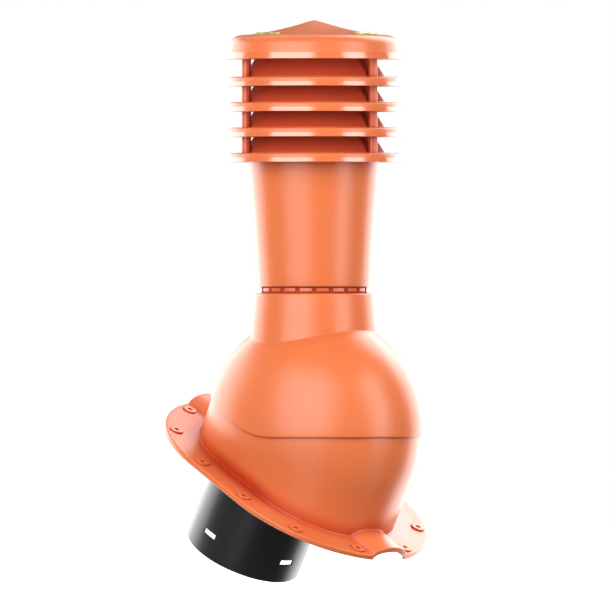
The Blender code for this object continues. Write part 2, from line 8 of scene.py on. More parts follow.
import json
import logging
import math
from dataclasses import dataclass, field
from enum import Enum
from typing import Any, Callable

import bmesh
import bpy
import numpy as np
from mathutils import Matrix, Vector


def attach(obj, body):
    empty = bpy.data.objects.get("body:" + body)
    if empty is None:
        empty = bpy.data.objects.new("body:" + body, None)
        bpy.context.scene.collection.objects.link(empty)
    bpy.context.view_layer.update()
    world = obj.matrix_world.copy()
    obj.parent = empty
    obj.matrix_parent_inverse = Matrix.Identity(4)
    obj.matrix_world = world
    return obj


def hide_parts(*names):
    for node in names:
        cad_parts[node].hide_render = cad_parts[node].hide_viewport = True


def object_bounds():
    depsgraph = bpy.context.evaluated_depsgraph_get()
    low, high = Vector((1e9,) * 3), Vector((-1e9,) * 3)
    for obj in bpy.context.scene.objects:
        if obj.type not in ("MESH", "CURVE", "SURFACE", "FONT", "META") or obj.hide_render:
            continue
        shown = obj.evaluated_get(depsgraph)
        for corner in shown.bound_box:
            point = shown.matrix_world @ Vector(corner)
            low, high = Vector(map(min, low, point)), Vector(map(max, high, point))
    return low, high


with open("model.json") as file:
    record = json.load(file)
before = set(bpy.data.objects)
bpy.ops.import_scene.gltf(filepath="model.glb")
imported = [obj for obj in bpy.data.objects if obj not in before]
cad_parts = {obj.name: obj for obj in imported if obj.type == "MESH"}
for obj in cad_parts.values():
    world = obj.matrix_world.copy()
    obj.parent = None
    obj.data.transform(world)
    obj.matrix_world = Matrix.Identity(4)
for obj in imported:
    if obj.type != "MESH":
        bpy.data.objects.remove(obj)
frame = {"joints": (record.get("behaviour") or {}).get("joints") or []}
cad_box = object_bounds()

LOG = logging.getLogger("roof_vent_pipe")
MM = 0.001
ROOF_PITCH = math.radians(30.0)
ROOF_TURN = Matrix.Rotation(ROOF_PITCH, 4, "Y")
BALL_CENTRE = Vector(frame["joints"][0]["pos_m"])
SHARP_ANGLE = math.radians(38.0)
WELD_DISTANCE = 0.002 * MM
ROUND_STEPS = 192
CORNER_STEPS = 5
FILLET_STEPS = 4
RIM_STEPS = 3
ARC_SAMPLES = 181
HALVINGS = 40

Profile = list[tuple[float, float]]
Corner = tuple[float, float, float]


class Body(Enum):
    """Bodies of the frame that pieces ride on."""

    BASE = "base"
    STACK = "stack"


class Slot(Enum):
    """Material slots of the record."""

    TERRACOTTA = "terracotta"
    BLACK = "black"
    VIAL = "vial"


class Repeat(Enum):
    """What a pattern does with its copies: joins them to the body, or cuts them from it."""

    JOIN = "join"
    CUT = "cut"


def linear(code: str) -> tuple[float, float, float, float]:
    """Turn an sRGB hex code into a linear colour.

    Args:
        code: The colour as "#RRGGBB".

    Returns:
        Red, green, blue and an alpha of 1.
    """
    parts = [int(code[i:i + 2], 16) / 255 for i in (1, 3, 5)]
    red, green, blue = [p / 12.92 if p <= 0.04045 else ((p + 0.055) / 1.055) ** 2.4 for p in parts]
    return red, green, blue, 1.0


def add_node(tree: bpy.types.NodeTree, kind: str, settings: dict[str, Any] | None = None,
             inputs: dict[Any, Any] | None = None) -> bpy.types.Node:
    """Add a node with its settings, values and links.

    Args:
        tree: The tree that gets the node.
        kind: The node's type.
        settings: Values for the node's own properties.
        inputs: By socket name or number, a plain value or the output socket to link.

    Returns:
        The new node.
    """
    node = tree.nodes.new(kind)
    for name, value in (settings or {}).items():
        setattr(node, name, value)
    for key, value in (inputs or {}).items():
        found = node.inputs[key] if isinstance(key, int) else next(
            s for s in node.inputs if s.enabled and s.name == key)
        if isinstance(value, bpy.types.NodeSocket):
            tree.links.new(value, found)
        else:
            found.default_value = value
    return node


def out(node: bpy.types.Node, name: str) -> bpy.types.NodeSocket:
    """Find the output of a node that is in use under a name."""
    return next(s for s in node.outputs if s.enabled and s.name == name)


# Finishes


@dataclass(frozen=True)
class MouldedPlastic:
    """Injection-moulded plastic with a fine eroded grain from its mould.

    The grain breaks highlights into a satin sheen, and slow clouds of melt flow move the colour and the
    gloss a little over a hand's width. Creases and recesses get painted shade: an ambient occlusion
    node darkens the base colour where walls close in.
    """

    name: str
    colour: str
    flow_colour: str
    roughness: float
    roughness_swing: float
    ior: float
    specular: float
    grain: float
    grain_height: float
    cloud: float
    # Painted shade in creases: how far the occlusion reaches, how dark it paints, over which openness,
    # with how many samples.
    painted_shade_reach: float = 25.0 * MM
    painted_shade_depth: float = 0.9
    painted_shade_openness: tuple[float, float] = (0.45, 0.95)
    painted_shade_samples: int = 8

    def material(self) -> bpy.types.Material:
        """Build the plastic's material.

        Returns:
            The material, with its pattern on object coordinates.
        """
        material = bpy.data.materials.new(self.name)
        material.use_nodes = True
        tree = material.node_tree
        shader = tree.nodes["Principled BSDF"]
        shader.inputs["IOR"].default_value = self.ior
        shader.inputs["Specular IOR Level"].default_value = self.specular
        place = out(add_node(tree, "ShaderNodeTexCoord"), "Object")
        cloud = add_node(tree, "ShaderNodeTexNoise", {}, {
            "Vector": place, "Scale": 1.0 / self.cloud, "Detail": 3.0, "Roughness": 0.55})
        flow = add_node(tree, "ShaderNodeMix", {"data_type": "RGBA"}, {
            "Factor": out(cloud, "Fac"), "A": linear(self.colour), "B": linear(self.flow_colour)})
        # Painted shade: ambient occlusion darkens the base colour in creases, gaps and recesses.
        shade_occlusion = add_node(tree, "ShaderNodeAmbientOcclusion", {
            "samples": self.painted_shade_samples}, {"Distance": self.painted_shade_reach})
        shut, free = self.painted_shade_openness
        shade = add_node(tree, "ShaderNodeMapRange", {}, {
            "Value": out(shade_occlusion, "AO"), "From Min": shut, "From Max": free,
            "To Min": self.painted_shade_depth, "To Max": 0.0})
        shade_painted_colour = add_node(tree, "ShaderNodeMix", {"data_type": "RGBA", "blend_type": "MULTIPLY"}, {
            "Factor": out(shade, "Result"), "A": out(flow, "Result"),
            "B": linear(self.flow_colour)})
        gloss = add_node(tree, "ShaderNodeMapRange", {}, {
            "Value": out(cloud, "Fac"), "To Min": self.roughness - self.roughness_swing,
            "To Max": self.roughness + self.roughness_swing})
        grain = add_node(tree, "ShaderNodeTexNoise", {}, {
            "Vector": place, "Scale": 1.0 / self.grain, "Detail": 2.0, "Roughness": 0.6})
        bump = add_node(tree, "ShaderNodeBump", {}, {
            "Height": out(grain, "Fac"), "Distance": self.grain_height, "Strength": 1.0})
        tree.links.new(out(shade_painted_colour, "Result"), shader.inputs["Base Color"])
        tree.links.new(out(gloss, "Result"), shader.inputs["Roughness"])
        tree.links.new(out(bump, "Normal"), shader.inputs["Normal"])
        return material


@dataclass(frozen=True)
class VialFluid:
    """Dyed level fluid: a clear, oily yellow-green that glows where light passes through it."""

    name: str = "dyed level fluid"
    colour: str = "#FBF67A"
    deep_colour: str = "#EDE552"
    ior: float = 1.44
    streak: float = 6.0 * MM

    def material(self) -> bpy.types.Material:
        """Build the fluid's material.

        Returns:
            The material, half see-through.
        """
        material = bpy.data.materials.new(self.name)
        material.use_nodes = True
        tree = material.node_tree
        shader = tree.nodes["Principled BSDF"]
        shader.inputs["IOR"].default_value = self.ior
        shader.inputs["Roughness"].default_value = 0.08
        shader.inputs["Transmission Weight"].default_value = 0.12
        place = out(add_node(tree, "ShaderNodeTexCoord"), "Object")
        streaks = add_node(tree, "ShaderNodeTexNoise", {}, {
            "Vector": place, "Scale": 1.0 / self.streak, "Detail": 1.0})
        tint = add_node(tree, "ShaderNodeMix", {"data_type": "RGBA"}, {
            "Factor": out(streaks, "Fac"), "A": linear(self.colour), "B": linear(self.deep_colour)})
        tree.links.new(out(tint, "Result"), shader.inputs["Base Color"])
        return material


@dataclass(frozen=True)
class ClearAcrylic:
    """Cast acrylic tube: water-clear, with hard small highlights and a few hairline scuffs."""

    name: str = "clear acrylic"
    ior: float = 1.49
    scuff: float = 2.5 * MM

    def material(self) -> bpy.types.Material:
        """Build the acrylic's material.

        Returns:
            The material, see-through.
        """
        material = bpy.data.materials.new(self.name)
        material.use_nodes = True
        tree = material.node_tree
        shader = tree.nodes["Principled BSDF"]
        shader.inputs["Base Color"].default_value = linear("#FAFCF4")
        shader.inputs["IOR"].default_value = self.ior
        shader.inputs["Transmission Weight"].default_value = 1.0
        place = out(add_node(tree, "ShaderNodeTexCoord"), "Object")
        scuffs = add_node(tree, "ShaderNodeTexNoise", {}, {
            "Vector": place, "Scale": 1.0 / self.scuff, "Detail": 2.0})
        gloss = add_node(tree, "ShaderNodeMapRange", {}, {
            "Value": out(scuffs, "Fac"), "To Min": 0.02, "To Max": 0.10})
        tree.links.new(out(gloss, "Result"), shader.inputs["Roughness"])
        return material


@dataclass(frozen=True)
class StudioPaper:
    """Matt white paper of the sweep, burnt out by a light of its own as in a catalogue picture.

    The floor throws nothing back on the object, as a glass table over a far white ground.
    """

    name: str = "white background paper"
    colour: str = "#F2F2F1"
    lift: float = 1.25

    def material(self) -> bpy.types.Material:
        """Build the paper's material.

        Returns:
            The material, which still shows the object's shadow.
        """
        material = bpy.data.materials.new(self.name)
        material.use_nodes = True
        tree = material.node_tree
        tree.nodes.clear()
        paper = add_node(tree, "ShaderNodeBsdfDiffuse", {}, {"Color": linear(self.colour)})
        glow = add_node(tree, "ShaderNodeEmission", {}, {
            "Color": linear(self.colour), "Strength": self.lift})
        lit = add_node(tree, "ShaderNodeAddShader", {}, {
            0: out(paper, "BSDF"), 1: out(glow, "Emission")})
        add_node(tree, "ShaderNodeOutputMaterial", {}, {"Surface": out(lit, "Shader")})
        return material


TERRACOTTA_ASA = MouldedPlastic(
    "terracotta ASA, spark-eroded satin", "#D77040", "#D16A3A", 0.34, 0.03, 1.54, 0.46,
    1.6 * MM, 0.008 * MM, 90.0 * MM)
TERRACOTTA_POLISHED = MouldedPlastic(
    "terracotta ASA, polished bead", "#DC7243", "#D66C3D", 0.18, 0.03, 1.60, 1.0,
    1.6 * MM, 0.003 * MM, 90.0 * MM)
# Painted shade: a darker, redder copy of the terracotta, laid on the shaded louvre cones and spigot
# grooves.
TERRACOTTA_PAINTED_SHADE = MouldedPlastic(
    "terracotta ASA, matt core side", "#B24228", "#A93D24", 0.68, 0.03, 1.54, 0.10,
    1.6 * MM, 0.010 * MM, 90.0 * MM, painted_shade_depth=0.1)
BLACK_POLYPROPYLENE = MouldedPlastic(
    "black polypropylene, satin", "#1B1B1C", "#212122", 0.38, 0.04, 1.49, 0.5,
    1.4 * MM, 0.012 * MM, 60.0 * MM)
BLACK_INK = MouldedPlastic(
    "black marking ink, matt", "#15160F", "#1F2015", 0.55, 0.05, 1.45, 0.4,
    0.5 * MM, 0.004 * MM, 5.0 * MM)


# Geometry Nodes trees for what is turned and what repeats


class Workshop:
    """Trees that turn profiles and repeat shapes, and the means to put a mesh through them."""

    def __init__(self) -> None:
        """Build the trees."""
        self.turning = self.turning_tree()
        self.rings = {kind: self.ring_tree(kind) for kind in Repeat}
        self.seats = self.seat_tree()
        self.row = self.row_tree()

    @staticmethod
    def new_tree(name: str, sockets: dict[str, str]) -> tuple[bpy.types.NodeTree, Callable]:
        """Start a tree with its named inputs.

        Args:
            name: The tree's name.
            sockets: Socket types by input name, after the geometry that comes in first.

        Returns:
            The tree, and a function that gives an input's socket by name.
        """
        tree = bpy.data.node_groups.new(name, "GeometryNodeTree")
        tree.interface.new_socket(name="Geometry", in_out="INPUT", socket_type="NodeSocketGeometry")
        for label, kind in sockets.items():
            tree.interface.new_socket(name=label, in_out="INPUT", socket_type="NodeSocket" + kind)
        tree.interface.new_socket(name="Geometry", in_out="OUTPUT", socket_type="NodeSocketGeometry")
        source = add_node(tree, "NodeGroupInput")
        return tree, lambda label: source.outputs[label]

    @staticmethod
    def end_tree(tree: bpy.types.NodeTree, geometry: bpy.types.NodeSocket,
                 material: bpy.types.NodeSocket) -> bpy.types.NodeTree:
        """Close a tree with Realize Instances and Set Material.

        Args:
            tree: The tree.
            geometry: What the tree has made.
            material: The material for all of it.

        Returns:
            The same tree.
        """
        real = add_node(tree, "GeometryNodeRealizeInstances", {}, {"Geometry": geometry})
        dressed = add_node(tree, "GeometryNodeSetMaterial", {}, {
            "Geometry": out(real, "Geometry"), "Material": material})
        add_node(tree, "NodeGroupOutput", {}, {"Geometry": out(dressed, "Geometry")})
        return tree

    def turning_tree(self) -> bpy.types.NodeTree:
        """Sweep a profile round the Z axis, as on a lathe.

        Returns:
            The tree. The profile's X is the distance from the sweep circle and its Y points down.
        """
        tree, given = self.new_tree("turned profile", {
            "Steps": "Int", "Sweep Radius": "Float", "Weld": "Float", "Material": "Material"})
        section = add_node(tree, "GeometryNodeMeshToCurve", {}, {"Mesh": given("Geometry")})
        path = add_node(tree, "GeometryNodeCurvePrimitiveCircle", {}, {
            "Resolution": given("Steps"), "Radius": given("Sweep Radius")})
        skin = add_node(tree, "GeometryNodeCurveToMesh", {}, {
            "Curve": out(path, "Curve"), "Profile Curve": out(section, "Curve")})
        closed = add_node(tree, "GeometryNodeMergeByDistance", {}, {
            "Geometry": out(skin, "Mesh"), "Distance": given("Weld")})
        return self.end_tree(tree, out(closed, "Geometry"), given("Material"))

    def ring_tree(self, repeat: Repeat) -> bpy.types.NodeTree:
        """Repeat a shape about the Z axis, its own X pointing outwards.

        Args:
            repeat: Whether the copies are joined to the body or cut from it.

        Returns:
            The tree.
        """
        tree, given = self.new_tree(f"ring of copies to {repeat.value}", {
            "Shape": "Object", "Count": "Int", "Radius": "Float", "Height": "Float",
            "First Angle": "Float", "Step Angle": "Float", "Material": "Material"})
        turn = add_node(tree, "ShaderNodeMath", {"operation": "MULTIPLY_ADD"}, {
            0: out(add_node(tree, "GeometryNodeInputIndex"), "Index"),
            1: given("Step Angle"), 2: given("First Angle")})
        start = add_node(tree, "ShaderNodeCombineXYZ", {}, {
            "X": given("Radius"), "Z": given("Height")})
        spot = add_node(tree, "ShaderNodeVectorRotate", {"rotation_type": "Z_AXIS"}, {
            "Vector": out(start, "Vector"), "Angle": out(turn, "Value")})
        points = add_node(tree, "GeometryNodePoints", {}, {
            "Count": given("Count"), "Position": out(spot, "Vector")})
        shape = add_node(tree, "GeometryNodeObjectInfo", {}, {"Object": given("Shape")})
        facing = add_node(tree, "FunctionNodeAxisAngleToRotation", {}, {
            "Axis": (0.0, 0.0, 1.0), "Angle": out(turn, "Value")})
        copies = add_node(tree, "GeometryNodeInstanceOnPoints", {}, {
            "Points": points.outputs[0], "Instance": out(shape, "Geometry"),
            "Rotation": out(facing, "Rotation")})
        real = add_node(tree, "GeometryNodeRealizeInstances", {}, {
            "Geometry": out(copies, "Instances")})
        if repeat is Repeat.CUT:
            cut = add_node(tree, "GeometryNodeMeshBoolean", {"operation": "DIFFERENCE"}, {
                "Mesh 1": given("Geometry"), "Mesh 2": out(real, "Geometry")})
            return self.end_tree(tree, out(cut, "Mesh"), given("Material"))
        joined = add_node(tree, "GeometryNodeJoinGeometry", {}, {"Geometry": given("Geometry")})
        tree.links.new(out(real, "Geometry"), joined.inputs["Geometry"])
        return self.end_tree(tree, out(joined, "Geometry"), given("Material"))

    def seat_tree(self) -> bpy.types.NodeTree:
        """Set raised, pierced seats along a closed path, evenly and half a step from its start.

        Returns:
            The tree. The geometry that comes in is the moulding that carries the seats.
        """
        tree, given = self.new_tree("screw seats along a path", {
            "Path": "Object", "Seat": "Object", "Piercing": "Object", "Count": "Int",
            "Material": "Material"})
        path = add_node(tree, "GeometryNodeObjectInfo", {}, {"Object": given("Path")})
        curve = add_node(tree, "GeometryNodeMeshToCurve", {}, {"Mesh": out(path, "Geometry")})
        middle = add_node(tree, "ShaderNodeMath", {"operation": "ADD"}, {
            0: out(add_node(tree, "GeometryNodeInputIndex"), "Index"), 1: 0.5})
        share = add_node(tree, "ShaderNodeMath", {"operation": "DIVIDE"}, {
            0: out(middle, "Value"), 1: given("Count")})
        spot = add_node(tree, "GeometryNodeSampleCurve", {"mode": "FACTOR"}, {
            "Curves": out(curve, "Curve"), "Factor": out(share, "Value")})
        points = add_node(tree, "GeometryNodePoints", {}, {
            "Count": given("Count"), "Position": out(spot, "Position")})
        solids = []
        for label in ("Piercing", "Seat"):
            shape = add_node(tree, "GeometryNodeObjectInfo", {}, {"Object": given(label)})
            copies = add_node(tree, "GeometryNodeInstanceOnPoints", {}, {
                "Points": points.outputs[0], "Instance": out(shape, "Geometry")})
            solids.append(add_node(tree, "GeometryNodeRealizeInstances", {}, {
                "Geometry": out(copies, "Instances")}))
        pierced = add_node(tree, "GeometryNodeMeshBoolean", {"operation": "DIFFERENCE"}, {
            "Mesh 1": given("Geometry"), "Mesh 2": out(solids[0], "Geometry")})
        joined = add_node(tree, "GeometryNodeJoinGeometry", {}, {"Geometry": out(pierced, "Mesh")})
        tree.links.new(out(solids[1], "Geometry"), joined.inputs["Geometry"])
        return self.end_tree(tree, out(joined, "Geometry"), given("Material"))

    def row_tree(self) -> bpy.types.NodeTree:
        """Repeat the geometry that comes in along a straight row.

        Returns:
            The tree.
        """
        tree, given = self.new_tree("row of copies", {
            "Count": "Int", "Start": "Vector", "Step": "Vector", "Material": "Material"})
        line = add_node(tree, "GeometryNodeMeshLine", {}, {
            "Count": given("Count"), "Start Location": given("Start"), "Offset": given("Step")})
        copies = add_node(tree, "GeometryNodeInstanceOnPoints", {}, {
            "Points": out(line, "Mesh"), "Instance": given("Geometry")})
        return self.end_tree(tree, out(copies, "Instances"), given("Material"))

    @staticmethod
    def grow(mesh: bpy.types.Mesh, tree: bpy.types.NodeTree,
             values: dict[str, Any]) -> bpy.types.Mesh:
        """Put a mesh through a tree.

        Args:
            mesh: What the tree takes in.
            tree: One of the workshop's trees.
            values: The tree's inputs by name.

        Returns:
            The plain mesh that comes out.
        """
        item = bpy.data.objects.new(mesh.name, mesh)
        bpy.context.scene.collection.objects.link(item)
        step = item.modifiers.new(tree.name, "NODES")
        step.node_group = tree
        for socket in tree.interface.items_tree:
            if socket.in_out == "INPUT" and socket.name in values:
                step[socket.identifier] = values[socket.name]
        bpy.context.view_layer.update()
        graph = bpy.context.evaluated_depsgraph_get()
        grown = bpy.data.meshes.new_from_object(item.evaluated_get(graph), depsgraph=graph)
        item.modifiers.remove(step)
        bpy.data.objects.remove(item)
        return grown

    @staticmethod
    def helper(mesh: bpy.types.Mesh) -> bpy.types.Object:
        """Link a shape that only trees read, hidden from the render."""
        item = bpy.data.objects.new(mesh.name, mesh)
        bpy.context.scene.collection.objects.link(item)
        item.hide_render = True
        return item

    def turned(self, name: str, profile: Profile, material: bpy.types.Material, closed: bool = True,
               steps: int = ROUND_STEPS) -> bpy.types.Mesh:
        """Turn a profile about the Z axis.

        Args:
            name: The mesh's name.
            profile: Points as (radius, height).
            material: The finish.
            closed: Whether the profile's last point joins its first.
            steps: Facets round the axis.

        Returns:
            The turned mesh, its faces pointing out.
        """
        sweep = max(radius for radius, _ in profile)
        count = len(profile)
        edges = [(i, (i + 1) % count) for i in range(count if closed else count - 1)]
        section = bpy.data.meshes.new(name)
        section.from_pydata([(radius - sweep, -height, 0.0) for radius, height in profile], edges, [])
        grown = self.grow(section, self.turning, {
            "Steps": steps, "Sweep Radius": sweep, "Weld": WELD_DISTANCE, "Material": material})
        return tidied(grown)


# Meshes


def tidied(mesh: bpy.types.Mesh) -> bpy.types.Mesh:
    """Merge a mesh's doubles and point its faces outwards.

    Args:
        mesh: The mesh to work on.

    Returns:
        The same mesh.
    """
    bm = bmesh.new()
    bm.from_mesh(mesh)
    bmesh.ops.remove_doubles(bm, verts=bm.verts, dist=WELD_DISTANCE)
    bmesh.ops.dissolve_degenerate(bm, edges=bm.edges, dist=WELD_DISTANCE)
    bmesh.ops.recalc_face_normals(bm, faces=bm.faces)
    bm.to_mesh(mesh)
    bm.free()
    return mesh


def softened(corners: list[Corner], closed: bool = True, steps: int = CORNER_STEPS) -> Profile:
    """Round the corners of a profile.

    Args:
        corners: Points as (radius, height, distance from the corner where its rounding starts).
        closed: Whether the last corner joins the first.
        steps: Facets in each rounding.

    Returns:
        The profile's points.
    """
    count = len(corners)
    points = []
    for i, (radius, height, cut) in enumerate(corners):
        here = Vector((radius, height))
        ends = not closed and i in (0, count - 1)
        if cut == 0.0 or ends:
            points.append((radius, height))
            continue
        before = Vector(corners[i - 1][:2]) - here
        after = Vector(corners[(i + 1) % count][:2]) - here
        start = here + before.normalized() * min(cut, before.length / 2)
        end = here + after.normalized() * min(cut, after.length / 2)
        points += [(spot.x, spot.y) for spot in bend(start, here, end, steps)]
    return points


def bend(start: Vector, corner: Vector, end: Vector, steps: int) -> list[Vector]:
    """Points of a rounding from start to end that leans on a corner, both ends included."""
    shares = [k / steps for k in range(steps + 1)]
    return [start * (1 - t) ** 2 + corner * (2 * t * (1 - t)) + end * t ** 2 for t in shares]


def lattice(name: str, columns: list[list[Vector]]) -> bpy.types.Mesh:
    """Skin a ring of closed columns, each with as many points, into one closed surface.

    Args:
        name: The mesh's name.
        columns: Closed loops of points, in order round the piece.

    Returns:
        The mesh, its faces pointing out.
    """
    bm = bmesh.new()
    grid = [[bm.verts.new(point) for point in column] for column in columns]
    for left, right in zip(grid, grid[1:] + grid[:1]):
        for k in range(len(left)):
            after = (k + 1) % len(left)
            bm.faces.new((left[k], right[k], right[after], left[after]))
    mesh = bpy.data.meshes.new(name)
    bm.to_mesh(mesh)
    bm.free()
    return tidied(mesh)


def block(name: str, size: tuple[float, float, float], rounding: float) -> bpy.types.Mesh:
    """Make a box about the origin with rounded edges.

    Args:
        name: The mesh's name.
        size: Its full lengths along X, Y and Z.
        rounding: Radius of its edges.

    Returns:
        The mesh.
    """
    bm = bmesh.new()
    bmesh.ops.create_cube(bm, size=1.0, matrix=Matrix.Diagonal((*size, 1.0)))
    bmesh.ops.bevel(bm, geom=bm.edges, offset=rounding, segments=3, profile=0.5, affect="EDGES")
    mesh = bpy.data.meshes.new(name)
    bm.to_mesh(mesh)
    bm.free()
    return tidied(mesh)


def solved(gap: Callable[[float], float], low: float, high: float) -> float:
    """Find where a function changes sign by halving.

    Args:
        gap: A function with one change of sign between the two ends.
        low: Where the search starts.
        high: Where it ends.

    Returns:
        The place of the change.
    """
    rising = gap(high) > gap(low)
    for _ in range(HALVINGS):
        middle = (low + high) / 2
        if (gap(middle) > 0) == rising:
            high = middle
        else:
            low = middle
    return (low + high) / 2


def refinish(mesh: bpy.types.Mesh, material: bpy.types.Material,
             chosen: Callable[[float, float], bool]) -> None:
    """Give some faces of a turned piece their own finish.

    Args:
        mesh: The turned piece.
        material: The finish.
        chosen: Says from a face's radius and height whether it gets the finish.
    """
    mesh.materials.append(material)
    for face in mesh.polygons:
        if chosen(face.center.xy.length, face.center.z):
            face.material_index = len(mesh.materials) - 1


def show(name: str, mesh: bpy.types.Mesh, place: Matrix, body: Body, slot: Slot,
         replaced: tuple[str, ...] = ()) -> bpy.types.Object:
    """Put a finished mesh in its place and tell the frame what it is.

    Args:
        name: The piece's name.
        mesh: Its mesh, with its material.
        place: Where the mesh goes in the frame.
        body: The body it rides on.
        slot: The record's slot that its finish stands for; not used.
        replaced: The frame's nodes that it stands for.

    Returns:
        The piece.
    """
    mesh.transform(place)
    mesh.shade_smooth()
    mesh.set_sharp_from_angle(angle=SHARP_ANGLE)
    piece = bpy.data.objects.new(name, mesh)
    bpy.context.scene.collection.objects.link(piece)
    if replaced:
        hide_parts(*replaced)
    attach(piece, body.value)
    LOG.info("%s: %d faces on %s", name, len(mesh.polygons), body.value)
    return piece


# Sub-assemblies


@dataclass
class RoofBase:
    """Flange, humps, screw seats and bowl: one moulding that lies in the roof's plane."""

    workshop: Workshop
    material: bpy.types.Material
    flange_shift: float = 37.0 * MM
    flange_half_straight: float = 49.0 * MM
    flange_radius: float = 146.0 * MM
    lip_height: float = 6.5 * MM
    lip_thick: float = 3.0 * MM
    lip_round: float = 1.8 * MM
    edge_round: float = 0.5 * MM
    plate_thick: float = 3.0 * MM
    floor_height: float = 7.0 * MM
    hump_half_width: float = 29.0 * MM
    hump_height: float = 12.8 * MM
    hump_fillet: float = 3.0 * MM
    hump_clear: float = 33.0 * MM
    hump_foot_angle: float = math.radians(12.0)
    seats_per_quarter: int = 3
    seat_inset: float = 13.5 * MM
    seat_radius: float = 9.0 * MM
    seat_rise: float = 2.0 * MM
    seat_round: float = 0.8 * MM
    screw_hole_radius: float = 2.8 * MM
    ball_shift: float = 35.0 * MM
    ball_height: float = 72.3 * MM
    ball_radius: float = 150.0 * MM
    ball_half_width: float = 120.1 * MM
    bowl_wall: float = 3.0 * MM
    foot_radius: float = 100.0 * MM
    wall_bulge: float = 1.4
    foot_fillet: float = 1.4 * MM
    crown_radius: float = 64.0 * MM
    crown_leans: tuple[float, float] = (math.radians(-5.0), math.radians(-30.0))
    crown_side: float = 0.75
    duct_hole_radius: float = 75.6 * MM
    hump_steps: int = 14
    quarter_steps: int = 90
    wall_steps: int = 10
    ball_steps: int = 16
    seat_steps: int = 48
    piercing_steps: int = 24

    @property
    def hollow_inset(self) -> float:
        """How far inside the flange's edge the hollow under it ends, beyond the bowl's foot."""
        return self.flange_radius - self.foot_radius - 2 * self.foot_fillet

    def hump_lines(self) -> list[tuple[float, float]]:
        """Lines that run along a hump: distance from its middle and rise above the flange.

        Returns:
            From the crest down the arch, and out over the fillet at its foot.
        """
        low = self.hump_foot_angle
        lines = []
        for i in range(self.hump_steps + 1):
            angle = math.pi / 2 + (low - math.pi / 2) * i / self.hump_steps
            lines.append((self.hump_half_width * math.cos(angle), self.hump_height * math.sin(angle)))
        start = Vector((*lines[-1], 0.0))
        corner = Vector((self.hump_half_width, 0.0, 0.0))
        end = Vector((self.hump_half_width + self.hump_fillet, 0.0, 0.0))
        lines += [(spot.x, spot.y) for spot in bend(start, corner, end, FILLET_STEPS)[1:]]
        return lines + [(self.hump_clear, 0.0)]

    def quarter(self, half_straight: float, radii: tuple[float, float]) -> list[Vector]:
        """Points of an oval's first quarter, on the hump's lines and evenly from there on.

        Args:
            half_straight: Half the straight stretch along the fall.
            radii: Semi-axes of the round ends, along and across the fall.

        Returns:
            Points from the long end to the side, about the oval's centre.
        """
        angles = np.linspace(0.0, math.pi / 2, ARC_SAMPLES)
        x = np.append(half_straight + radii[0] * np.cos(angles), 0.0)
        y = np.append(radii[1] * np.sin(angles), radii[1])
        run = np.concatenate([[0.0], np.cumsum(np.hypot(np.diff(x), np.diff(y)))])
        locked = np.interp([line[0] for line in self.hump_lines()], y[:-1], run[:-1])
        runs = np.concatenate([locked, np.linspace(locked[-1], run[-1], self.quarter_steps + 1)[1:]])
        return [Vector(spot) for spot in zip(np.interp(runs, run, x), np.interp(runs, run, y))]

    def flange_quarter(self, inset: float) -> list[Vector]:
        """Quarter ring at an even distance inside the flange's edge."""
        radius = self.flange_radius - inset
        return self.quarter(self.flange_half_straight, (radius, radius))

    def wall_quarter(self, height: float, inset: float) -> tuple[float, list[Vector]]:
        """Quarter ring of the bowl's wall at a height between the flange and the ball's middle.

        The wall stays near the ball's own outline at first and narrows faster towards its foot.

        Args:
            height: Height above the flange's underside.
            inset: Distance inside the outer surface.

        Returns:
            The ring's centre along the fall, and its quarter.
        """
        share = (self.ball_height - height) / self.ball_height
        narrowing = share ** self.wall_bulge
        length, width = (ball + (self.foot_radius - ball) * narrowing - inset
                         for ball in (self.ball_radius, self.ball_half_width))
        centre = self.ball_shift + (self.flange_shift - self.ball_shift) * share
        return centre, self.quarter(self.flange_half_straight * narrowing, (length, width))

    def crown_direction(self, share: float) -> Vector:
        """Unit direction of the crown's rim, for the first quarter or, with a share past 1, the next.

        Args:
            share: 0 at the downhill end, 1 at the side, 2 at the uphill end.

        Returns:
            The direction on a sphere that the bowl's crown stretches.
        """
        side = self.crown_side
        middle = sum(self.crown_leans) / 2
        far = self.crown_leans[0] if share <= 1 else self.crown_leans[1]
        along = share if share <= 1 else 2 - share
        turn = math.pi / 2 * min(along / side, 1.0)
        lean = far + (middle - far) * max(0.0, (along - side) / (1 - side))
        out_by = math.copysign(self.crown_radius * math.cos(turn), 1 - share)
        across = self.crown_radius * math.sin(turn)
        round_here = self.ball_radius ** 2 * (1 - (across / self.ball_half_width) ** 2)
        depth = math.sqrt(round_here - out_by ** 2)
        return Vector((
            (depth * math.sin(lean) + out_by * math.cos(lean)) / self.ball_radius,
            across / self.ball_half_width,
            (depth * math.cos(lean) - out_by * math.sin(lean)) / self.ball_radius)).normalized()

    def ball_rows(self, equator: Vector, crown: Vector, inset: float) -> list[Vector]:
        """Points up the ball, from its middle to the crown's rim.

        Args:
            equator: Unit direction at the ball's middle.
            crown: Unit direction at the crown's rim.
            inset: Distance inside the outer surface.

        Returns:
            The points in the roof's plane, both ends included.
        """
        rows = []
        for i in range(self.ball_steps + 1):
            spot = equator.slerp(crown, i / self.ball_steps)
            rows.append(Vector((
                self.ball_shift + spot.x * (self.ball_radius - inset),
                spot.y * (self.ball_half_width - inset),
                self.ball_height + spot.z * (self.ball_radius - inset))))
        return rows

